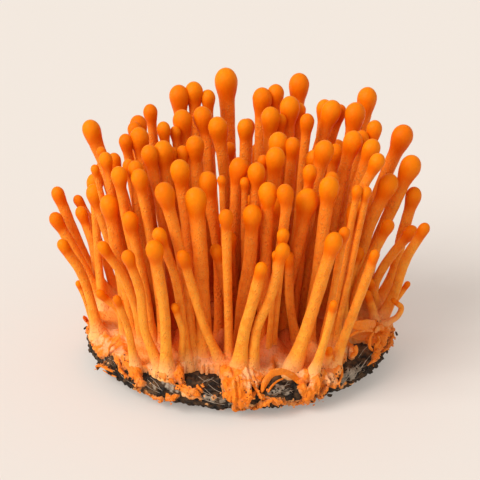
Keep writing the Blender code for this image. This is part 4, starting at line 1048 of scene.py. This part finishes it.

# Ribbons, curls and buds of the same skin stand free of the mat's edge. Each is a flat strip that lies
# over the side, read as a line of pixels with a width, a thickness and a lift off the side in
# millimetres.
MAT_STRIPS = [
    ([(262, 393), (265, 384), (269, 377), (275, 372), (283, 371), (290, 374), (297, 380), (301, 384)],
     1.9, 0.5, 0.2),
    ([(268, 393), (272, 386), (277, 381), (284, 378)], 0.6, 0.35, 0.15),
    ([(351, 326), (359, 325), (367, 324), (375, 325)], 2.5, 0.7, 0.7),
    ([(349, 337), (356, 332), (364, 330), (372, 331)], 1.0, 0.5, 0.5),
    ([(373, 331), (377, 329), (381, 330), (383, 333)], 1.9, 0.9, 0.6),
    ([(373, 332), (369, 338), (368, 345), (372, 351)], 1.0, 0.6, 0.6),
    ([(377, 335), (376, 342), (375, 350)], 1.9, 0.8, 0.6),
    ([(378, 351), (376, 357), (371, 362), (367, 366)], 0.5, 0.35, 0.3),
    ([(353, 346), (354, 352), (350, 358)], 1.6, 1.0, 0.7),
    ([(109, 355), (112, 347), (117, 342), (121, 337)], 0.9, 0.6, 0.7),
    ([(98, 364), (106, 368), (114, 372)], 0.5, 0.35, 0.6),
    ([(103, 370), (110, 374), (117, 377)], 0.45, 0.3, 0.4),
    ([(84, 317), (87, 321), (92, 326)], 1.3, 0.9, 0.2),
    ([(250, 379), (255, 387), (262, 397), (265, 400)], 0.8, 0.45, 0.5),
    ([(329, 352), (334, 362), (340, 372), (338, 384)], 0.9, 0.5, 0.8)]
STRIP_SIDES = 12
STRIP_STEP = 0.0003
STRIP_FURTHEST_IN = 0.0028
STRIP_TILT = np.array([0.0, 0.0, 0.35])


def level_out(places):
    """The level way out from the bunch's middle at a point, or at each of many."""
    return unit(places * np.array([1.0, 1.0, 0.0]))


def strip_rings(trail, width, thickness, lift):
    """Rings round a flat strip that lies over the cake's side along a line of pixels, with its marks."""
    points = np.array([place_on_side(pixel, STRIP_FURTHEST_IN) for pixel in trail])
    arch = 0.25 + 0.75 * np.sin(math.pi * np.linspace(0.0, 1.0, len(points))) ** 0.7
    points = points + (level_out(points) + STRIP_TILT) * (lift * MM * arch)[:, None]
    path, run = smooth_path(points)
    reach = np.linspace(0.0, run[-1], max(STRIP_SIDES, int(run[-1] / STRIP_STEP)))
    place = read_off(reach, run, path)
    way = unit(np.gradient(place, axis=0))
    out = level_out(place)
    out = unit(out - way * (out * way).sum(1)[:, None])
    share = (reach / run[-1])[:, None]
    slim = np.sqrt(np.clip(1.0 - (2.0 * share - 1.0) ** 6, 0.0, 1.0)) + 0.02
    ripple = 1.0 + 0.12 * np.sin(share * 9.0 + trail[0][0]) + 0.08 * np.sin(share * 23.0 + trail[0][1])
    curl = 0.25 * width * MM * np.sin(share * 5.0 + trail[0][0])
    angle = once_round(STRIP_SIDES)
    sweep = 0.5 * width * MM * slim * ripple * np.cos(angle)
    depth = 0.5 * thickness * MM * slim * np.sin(angle) + curl * np.cos(angle) ** 2
    flat = np.zeros(len(reach))
    return rings_round(place, np.cross(out, way), out, sweep, depth), {
        "near_foot": flat, "tongue": flat + 1.0, "cover": flat + 1.0, "rim": flat + 0.4,
        # the strip's colour darkens towards its two ends with the same painted shade
        "crease_shade": 0.4 * (1.0 - slim[:, 0]), "inner": flat}


strips = piece_of(ring_mesh("mycelium_strips", [strip_rings(*row) for row in MAT_STRIPS]), felt)
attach(strips, "root")

# The substrate is a cake of dark grain and bark crumbs, bound by the fungus and cut flat underneath.
# It shows between the mat's lobes and below its hem.
CAKE_ROUND = 640
CAKE_REACHES = (0.0005, 0.0298, 0.0340, 0.0374, 0.0391, 0.0395, 0.0390, 0.0377, 0.0355, 0.0320, 0.0250,
                0.0005)
CAKE_HEIGHTS = (0.0, 0.0, 0.0006, 0.0026, 0.0046, 0.0058, 0.0068, 0.0077, 0.0084, 0.0086, 0.0086,
                0.0082)
CAKE_RINGS = (4, 10, 14, 12, 9, 9, 9, 8, 8, 8, 3)
CAKE_LOOSENED = (0.0290, 0.0330)   # from where to where outwards its crumbs stand loose
CAKE_UNSEEN = (0.004, 0.012)
FILM_MM = 0.4
# Where a film of fungus covers the bare side, as read: the pixel, and a radius in millimetres.
GREY_FILM = [
    (280, 386, 1.7), (272, 392, 1.2), (288, 393, 0.9), (170, 385, 1.5), (178, 390, 1.1), (163, 381, 1.0),
    (352, 373, 1.8), (345, 380, 1.6), (360, 368, 1.2), (212, 401, 1.4), (222, 403, 1.4), (232, 406, 1.2),
    (205, 397, 1.0), (101, 359, 0.9), (154, 388, 0.9)]
ORANGE_FILM = [
    (137, 391, 1.5), (147, 396, 1.6), (158, 399, 1.6), (169, 398, 1.4), (185, 391, 1.7), (192, 396, 1.7),
    (199, 401, 1.4), (183, 384, 1.0), (245, 407, 1.6), (256, 407, 1.6), (266, 402, 1.5), (277, 403, 1.5),
    (289, 403, 1.5), (300, 401, 1.7), (262, 396, 1.0), (311, 395, 1.9), (319, 390, 1.9), (305, 387, 1.6),
    (328, 386, 1.5), (336, 383, 1.3), (326, 380, 1.6), (340, 374, 1.1), (384, 347, 1.5), (389, 337, 1.6),
    (394, 328, 1.4), (377, 357, 1.1), (121, 368, 1.0), (98, 350, 1.3), (92, 338, 1.2), (106, 362, 0.8),
    (167, 376, 1.2), (88, 328, 1.2), (226, 374, 1.5), (251, 395, 1.4), (174, 380, 1.0), (344, 386, 1.3),
    (352, 383, 0.9), (364, 376, 0.9), (376, 366, 0.9), (214, 397, 0.9), (222, 408, 1.0), (207, 404, 0.9),
    (268, 389, 0.8), (289, 384, 0.7), (150, 383, 0.7)]

cake_steps = np.concatenate([np.linspace(k, k + 1.0, n, endpoint=False) for k, n in enumerate(CAKE_RINGS)])
cake_reach = np.interp(cake_steps, np.arange(len(CAKE_REACHES)), CAKE_REACHES)[::-1, None]
cake_height = np.interp(cake_steps, np.arange(len(CAKE_HEIGHTS)), CAKE_HEIGHTS)[::-1, None]
turn = np.linspace(-math.pi, math.pi, CAKE_ROUND, endpoint=False)
cake_grid = swept_grid(turn, cake_reach, cake_height)
places = cake_grid.reshape(-1, 3)
rough = 0.95 * np.abs(lumps(places, 0.0030, 11)) + 0.75 * np.abs(lumps(places, 0.0013, 12))
rough = rough + 0.30 * lumps(places, 0.0006, 13) - 0.45
loosened = np.repeat(ramp(cake_reach, *CAKE_LOOSENED), CAKE_ROUND)
unseen = ramp(places[:, 1], *CAKE_UNSEEN)
ragged = layered(places, (0.5, 0.0011, 32), (0.3, 0.0005, 33))
films = []
for film_places, seed in ((GREY_FILM, 31), (ORANGE_FILM, 34)):
    film = patches_over(places, [(place_on_side((x, y)), radius * MM) for x, y, radius in film_places])
    film = np.maximum(film, unseen * np.clip(0.9 * lumps(places, 0.006, seed) + 0.2, 0.0, 1.0))
    films.append(eased((film + 0.5 * ragged - 0.24) / 0.28))
grey, felted = films
rough = rough * (1.0 - 0.45 * felted) + FILM_MM * (felted + 0.3 * grey)
grown = places + facing_of(cake_grid).reshape(-1, 3) * (rough * MM * loosened)[:, None]
grown[:, 2] = np.maximum(grown[:, 2], 0.0)
cake_rows = grown.reshape(cake_grid.shape)

soil, tree = new_material("substrate_crumb", {"Specular IOR Level": 0.22})
mottle, grain, speck = placed_grain(tree, 420.0, 2200.0, 900.0)
patches, fibres, _ = placed_grain(tree, 200.0, 1300.0, 2400.0)
pore = times(tree, ranged(tree, speck, 0.45, 0.85), ranged(tree, fibres, 0.48, 0.58))
film_colour = painted(
    tree, (0.86, 0.220, 0.012),
    (patches, (0.84, 0.430, 0.160), 0.40, 0.60, 1.0),
    (mottle, (0.50, 0.130, 0.020), 0.56, 0.70, 0.6),
    (pore, (0.10, 0.028, 0.010)))
pale = added(tree, marked(tree, "grey_film"), fibres, (mottle, 0.5))
held = added(tree, marked(tree, "felted"), ranged(tree, fibres, 0.3, 0.7, -0.25, 0.25))
soil_colour = painted(
    tree, (0.014, 0.0090, 0.0060),
    (mottle, (0.085, 0.046, 0.022), 0.42, 0.64, 1.0),
    (patches, (0.20, 0.100, 0.042), 0.56, 0.70, 0.6),
    (pale, (0.46, 0.38, 0.29), 1.05, 1.95, 0.75),
    (held, film_colour, 0.35, 0.60, 1.0))
soil_relief = added(tree, (fibres, 0.8), (grain, 0.5), (speck, 0.5))
surfaced(tree, soil_colour, ranged(tree, mottle, 0.3, 0.7, 0.55, 0.92),
         bumped(tree, soil_relief, 0.9, 0.00040))
cake_run = (cake_rows, {"grey_film": grey, "felted": felted})
cake = piece_of(ring_mesh("substrate_cake", [cake_run], FACING_OUT), soil)
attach(cake, "root")
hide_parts("substrate")

# Crumbs of grain husk and bark stand proud of the cake's side, torn flakes of bark lie on it, and
# broader chips stick out of its left and right edges. They are pressed in and bound by the fungus.
CRUMB_SEED = 8
CRUMB_COUNT = 1500
CRUMB_SIZES_MM = (0.35, 1.20)
CRUMB_SKEW = 1.4              # sizes are raised to this, which makes small crumbs the commoner
CRUMB_SUNK = np.array([0.997, 0.997, 1.0])
CRUMB_CORNERS = 6
ANY_TURN = 6.3
CRUMB_EDGE_ROWS = 12          # rows of the cake at its middle, above and below, that bear none
EDGE_CRUMB_COUNT = 420
EDGE_CRUMB_SIZES_MM = (0.25, 0.80)
EDGE_CRUMB_SKEW = 1.5
EDGE_CRUMB_SPREAD = np.array([1.0, 0.7, 0.55])
FLAKE_CORNERS = 8
FLAKE_LEAN_IN = 0.6           # how far a flake that lies across the view is laid back to the side
FLAKE_LIFT = 0.0002
CHIP_CORNERS = 11
CHIP_SIZE = np.array([2.55, 1.65, 0.91]) * MM
CHIP_SHOWS = 0.6              # share of a chip's given reach by which its middle stands out
CHIP_ROLL = 0.3
CHIP_SKEW = 0.25
# Flakes as read: the pixel, the length in millimetres and the heading in degrees.
FLAKES = [
    (86, 328, 1.7, 200), (92, 342, 2.2, 240), (98, 356, 2.2, 215), (103, 361, 2.0, 235),
    (113, 359, 2.4, 255), (116, 365, 2.2, 240), (120, 373, 2.2, 235), (126, 380, 2.4, 220),
    (131, 385, 2.0, 215), (110, 366, 1.8, 215), (396, 334, 1.6, 320), (392, 342, 1.8, 300),
    (386, 351, 1.8, 310), (381, 356, 2.0, 300), (375, 366, 2.0, 320), (370, 371, 2.0, 330),
    (354, 381, 2.2, 340), (362, 375, 2.0, 330), (329, 395, 1.8, 345), (391, 321, 1.2, 10),
    (311, 401, 1.8, 350), (250, 388, 1.2, 170), (134, 351, 2.0, 260), (139, 366, 1.8, 30)]
# Chips: direction in degrees, height and reach past the rim in millimetres.
BARK_CHIPS = [
    (174, 4.8, 0.7), (-172, 4.6, 0.5), (-161, 4.4, 0.7), (-154, 3.9, 0.4), (-147, 4.2, 0.3),
    (-38, 4.3, 0.3), (-26, 4.0, 0.6), (-15, 4.5, 0.4), (-5, 4.8, 0.8), (7, 4.4, 0.5)]


def torn_flake(rng, middle, lay, across, size, corners):
    """Corners and faces of one angular crumb or flake: a crooked outline in three layers, given the
    ways its length and width run and its size along each."""
    angle = once_round(corners) + rng.uniform(-0.22, 0.22, corners)
    reach = rng.uniform(0.62, 1.0, corners)
    up = np.cross(lay, across)
    shell = []
    for level, slim in ((-1.0, 0.72), (0.1, 1.0), (1.0, 0.66)):
        slim = slim * rng.uniform(0.85, 1.1, corners) * reach
        lift = level * rng.uniform(0.55, 1.0, corners)
        shell.append(middle + 0.5 * (np.outer(np.cos(angle) * slim, lay) * size[0]
                                     + np.outer(np.sin(angle) * slim, across) * size[1]
                                     + np.outer(lift, up) * size[2]))
    faces = [tuple(range(corners))[::-1], tuple(range(2 * corners, 3 * corners))]
    for k in range(corners):
        after = (k + 1) % corners
        faces += [(k, after, after + corners, k + corners),
                  (k + corners, after + corners, after + 2 * corners, k + 2 * corners)]
    return np.concatenate(shell), faces


def flake_mesh(name, flakes):
    """One mesh from many torn flakes."""
    corners, faces, count = [], [], 0
    for shell, sides in flakes:
        corners.append(shell)
        faces += [tuple(count + k for k in side) for side in sides]
        count += len(shell)
    mesh = bpy.data.meshes.new(name)
    mesh.from_pydata(np.concatenate(corners).tolist(), [], faces)
    return mesh


rng = np.random.default_rng(CRUMB_SEED)
side_rows = cake_rows[CRUMB_EDGE_ROWS:-CRUMB_EDGE_ROWS]
bare = (1.0 - felted).reshape(cake_grid.shape[:2])[CRUMB_EDGE_ROWS:-CRUMB_EDGE_ROWS]
flakes = []
while len(flakes) < CRUMB_COUNT:
    row, column = rng.integers(side_rows.shape[0]), rng.integers(CAKE_ROUND)
    if bare[row, column] < rng.uniform(0.3, 0.9):
        continue
    size = rng.uniform(*CRUMB_SIZES_MM) ** CRUMB_SKEW * MM
    spot = side_rows[row, column] * CRUMB_SUNK
    spot[2] = max(spot[2], 0.6 * size)
    spin = np.array(Euler(rng.uniform(0.0, ANY_TURN, 3)).to_matrix())
    spread = np.array([1.0, rng.uniform(0.5, 0.9), rng.uniform(0.35, 0.7)])
    flakes.append(torn_flake(rng, spot, spin[0], spin[1], spread * size, CRUMB_CORNERS))
for spot in mat_edge[rng.integers(len(mat_edge), size=EDGE_CRUMB_COUNT)]:
    size = rng.uniform(*EDGE_CRUMB_SIZES_MM) ** EDGE_CRUMB_SKEW * MM
    spin = np.array(Euler(rng.uniform(0.0, ANY_TURN, 3)).to_matrix())
    flakes.append(torn_flake(rng, spot, spin[0], spin[1], EDGE_CRUMB_SPREAD * size, CRUMB_CORNERS))
for x, y, length, heading in FLAKES:
    spot = place_on_side((x, y))
    way = level_out(spot)
    lay = math.cos(math.radians(heading)) * VIEW_RIGHT + math.sin(math.radians(heading)) * VIEW_UP
    lay = unit(lay - FLAKE_LEAN_IN * way * np.dot(lay, way))
    across = unit(np.cross(way, lay))
    size = np.array([length, length * rng.uniform(0.4, 0.7), rng.uniform(0.5, 0.8)]) * MM
    flakes.append(torn_flake(rng, spot + FLAKE_LIFT * way, lay, across, size, FLAKE_CORNERS))
for direction, height, reach in BARK_CHIPS:
    angle = math.radians(direction)
    side_reach = np.interp(height * MM, CAKE_HEIGHTS[2:7], CAKE_REACHES[2:7]) * swell_of(direction)
    middle = np.array([math.cos(angle), math.sin(angle), 0.0]) * (side_reach + CHIP_SHOWS * reach * MM)
    middle[2] = height * MM
    skewed = angle + CHIP_SKEW * math.sin(3 * direction)
    across = np.array([math.cos(skewed), math.sin(skewed), 0.0])
    lay = np.array([-across[1], across[0], CHIP_ROLL * math.sin(direction)])
    flakes.append(torn_flake(rng, middle, lay, across, CHIP_SIZE, CHIP_CORNERS))
crumbs = piece_of(flake_mesh("substrate_crumbs", flakes), soil)
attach(crumbs, "root")

# Shreds of the felted skin lie torn along the mat's edge and over the bare crumbs beside it. They are
# thin angular scraps that hang on by their fibres.
SHRED_COUNT = 700
SHRED_SIZES_MM = (0.35, 1.25)
SHRED_SKEW = 1.3
SHRED_SPREAD = np.array([1.0, 0.5, 0.35])
SHRED_CORNERS = 7
SHRED_COVER = 0.6             # how full the felt's colour is on them
flakes = []
for spot in mat_edge[rng.integers(len(mat_edge), size=SHRED_COUNT)]:
    size = rng.uniform(*SHRED_SIZES_MM) ** SHRED_SKEW * MM
    way = level_out(spot)
    lay = unit(np.cross(way, np.array([rng.normal(), rng.normal(), 1.2 * rng.normal()])))
    across = np.cross(way, lay)
    middle = spot + way * rng.uniform(0.0, 0.4) * MM + across * rng.uniform(-0.8, 0.8) * MM
    middle[2] = max(middle[2], 0.5 * size)
    flakes.append(torn_flake(rng, middle, lay, across, SHRED_SPREAD * size, SHRED_CORNERS))
shred_mesh = flake_mesh("mycelium_shreds", flakes)
mark_points(shred_mesh, {"cover": np.full(len(shred_mesh.vertices), SHRED_COVER)})
shreds = piece_of(shred_mesh, felt)
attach(shreds, "root")

# Threads of mycelium, grey-white and hair thin, run over the bare parts of the cake and bind its crumbs.
# The longest of them are read as lines of pixels.
LONG_THREADS = [
    [(362, 361), (354, 370), (345, 380)], [(358, 364), (350, 374), (342, 385)],
    [(366, 360), (357, 372), (349, 382)], [(353, 366), (356, 373), (352, 380)],
    [(348, 368), (354, 372), (360, 371)], [(147, 379), (154, 385), (163, 391)],
    [(150, 377), (157, 383), (161, 390)], [(144, 383), (152, 389), (160, 393)],
    [(196, 386), (206, 393), (218, 398)], [(200, 398), (212, 402), (226, 405)],
    [(194, 390), (204, 398), (216, 404)], [(208, 384), (216, 390), (226, 394)],
    [(204, 388), (214, 396), (228, 400)], [(272, 383), (280, 386), (290, 384)],
    [(276, 390), (284, 392), (294, 390)], [(274, 395), (282, 389), (289, 380)],
    [(198, 376), (206, 381), (214, 377)], [(202, 383), (210, 379), (219, 384)],
    [(170, 383), (177, 387), (184, 388)], [(113, 362), (121, 368), (128, 377)],
    [(108, 358), (116, 362), (124, 371)], [(120, 374), (127, 380), (136, 386)],
    [(326, 382), (334, 384), (343, 381)], [(256, 390), (263, 396), (271, 399)],
    [(372, 353), (366, 360), (360, 370)], [(370, 345), (363, 350), (358, 358)]]
LONG_THREAD_MM = (0.10, 0.08, 0.22)
THREAD_COUNT = 240
THREAD_STEPS = 14
THREAD_RADII_MM = (0.025, 0.060)
THREAD_LIFT_MM = 0.18
THREAD_WAVE_MM = 0.16
THREAD_TURN = 0.55
THREAD_EDGE_ROWS = 14
runs = []
grey_rows = grey.reshape(cake_grid.shape[:2])
last_row = len(cake_rows) - 1
square = once_round(4)
for number in range(THREAD_COUNT):
    row, column = 0, 0
    while grey_rows[row, column] < rng.uniform(0.15, 0.6):
        row = rng.integers(THREAD_EDGE_ROWS, len(cake_rows) - THREAD_EDGE_ROWS)
        column = rng.integers(CAKE_ROUND)
    heading = rng.uniform(0.0, 2.0 * math.pi)
    trail = []
    for step in range(THREAD_STEPS):
        base = cake_rows[int(np.clip(row, 0, last_row)), int(column) % CAKE_ROUND]
        lift = THREAD_LIFT_MM + THREAD_WAVE_MM * math.sin(step * 0.9 + number)
        trail.append(base + level_out(base) * lift * MM)
        heading += rng.uniform(-THREAD_TURN, THREAD_TURN)
        row += 1.1 * math.sin(heading)
        column += 1.3 * math.cos(heading)
    trail = np.array(trail)
    trail[:, 2] = np.maximum(trail[:, 2], 0.2 * MM)
    way = unit(np.gradient(trail, axis=0))
    side = unit(np.cross(way, np.array([0.0, 0.0, 1.0])))
    slim = np.sin(np.linspace(0.15, math.pi - 0.15, THREAD_STEPS)) ** 0.5
    thin = (rng.uniform(*THREAD_RADII_MM) * MM * slim)[:, None]
    rings = rings_round(trail, side, np.cross(side, way), thin * np.cos(square), thin * np.sin(square))
    runs.append((rings, {}))
runs += [(strip_rings(trail, *LONG_THREAD_MM)[0], {}) for trail in LONG_THREADS]

silk, tree = new_material("mycelium_thread", {})
mottle, grain, _ = placed_grain(tree, 500.0, 3000.0, 900.0)
surfaced(tree, painted(tree, (0.30, 0.22, 0.15), (mottle, (0.52, 0.43, 0.33), 0.3, 0.7, 1.0)),
         ranged(tree, grain, 0.3, 0.7, 0.5, 0.8), bumped(tree, grain, 0.4, 0.00005))
threads = piece_of(ring_mesh("mycelium_threads", runs), silk)
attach(threads, "root")

# The floor is a wide pale sheet that runs past the edges of every view. It is matt and glows a little,
# so that it stays as even and light as the photograph's.
paper, _ = new_material("floor_paper", {
    "Base Color": (0.50, 0.465, 0.435, 1.0), "Emission Color": (0.93, 0.84, 0.76, 1.0),
    "Emission Strength": 0.31, "Roughness": 0.9, "Specular IOR Level": 0.1})
bpy.ops.mesh.primitive_plane_add(size=6.0)
floor = bpy.context.active_object
floor.name = "floor"
floor.data.materials.append(paper)

# The light is a soft studio's: an even pale surround, and one broad light from the upper left of the
# front that shades each stalk on its right.
world = bpy.data.worlds.new("studio")
bpy.context.scene.world = world
world.use_nodes = True
world.node_tree.nodes["Background"].inputs["Color"].default_value = (1.0, 0.965, 0.92, 1.0)
world.node_tree.nodes["Background"].inputs["Strength"].default_value = 0.64
sun_data = bpy.data.lights.new("key", "SUN")
sun_data.energy = 2.75
sun_data.angle = math.radians(40.0)
sun_data.color = (1.0, 0.985, 0.96)
sun = bpy.data.objects.new("key", sun_data)
sun.rotation_euler = Vector((0.82, 0.54, -0.86)).to_track_quat("-Z", "Y").to_euler()
bpy.context.scene.collection.objects.link(sun)
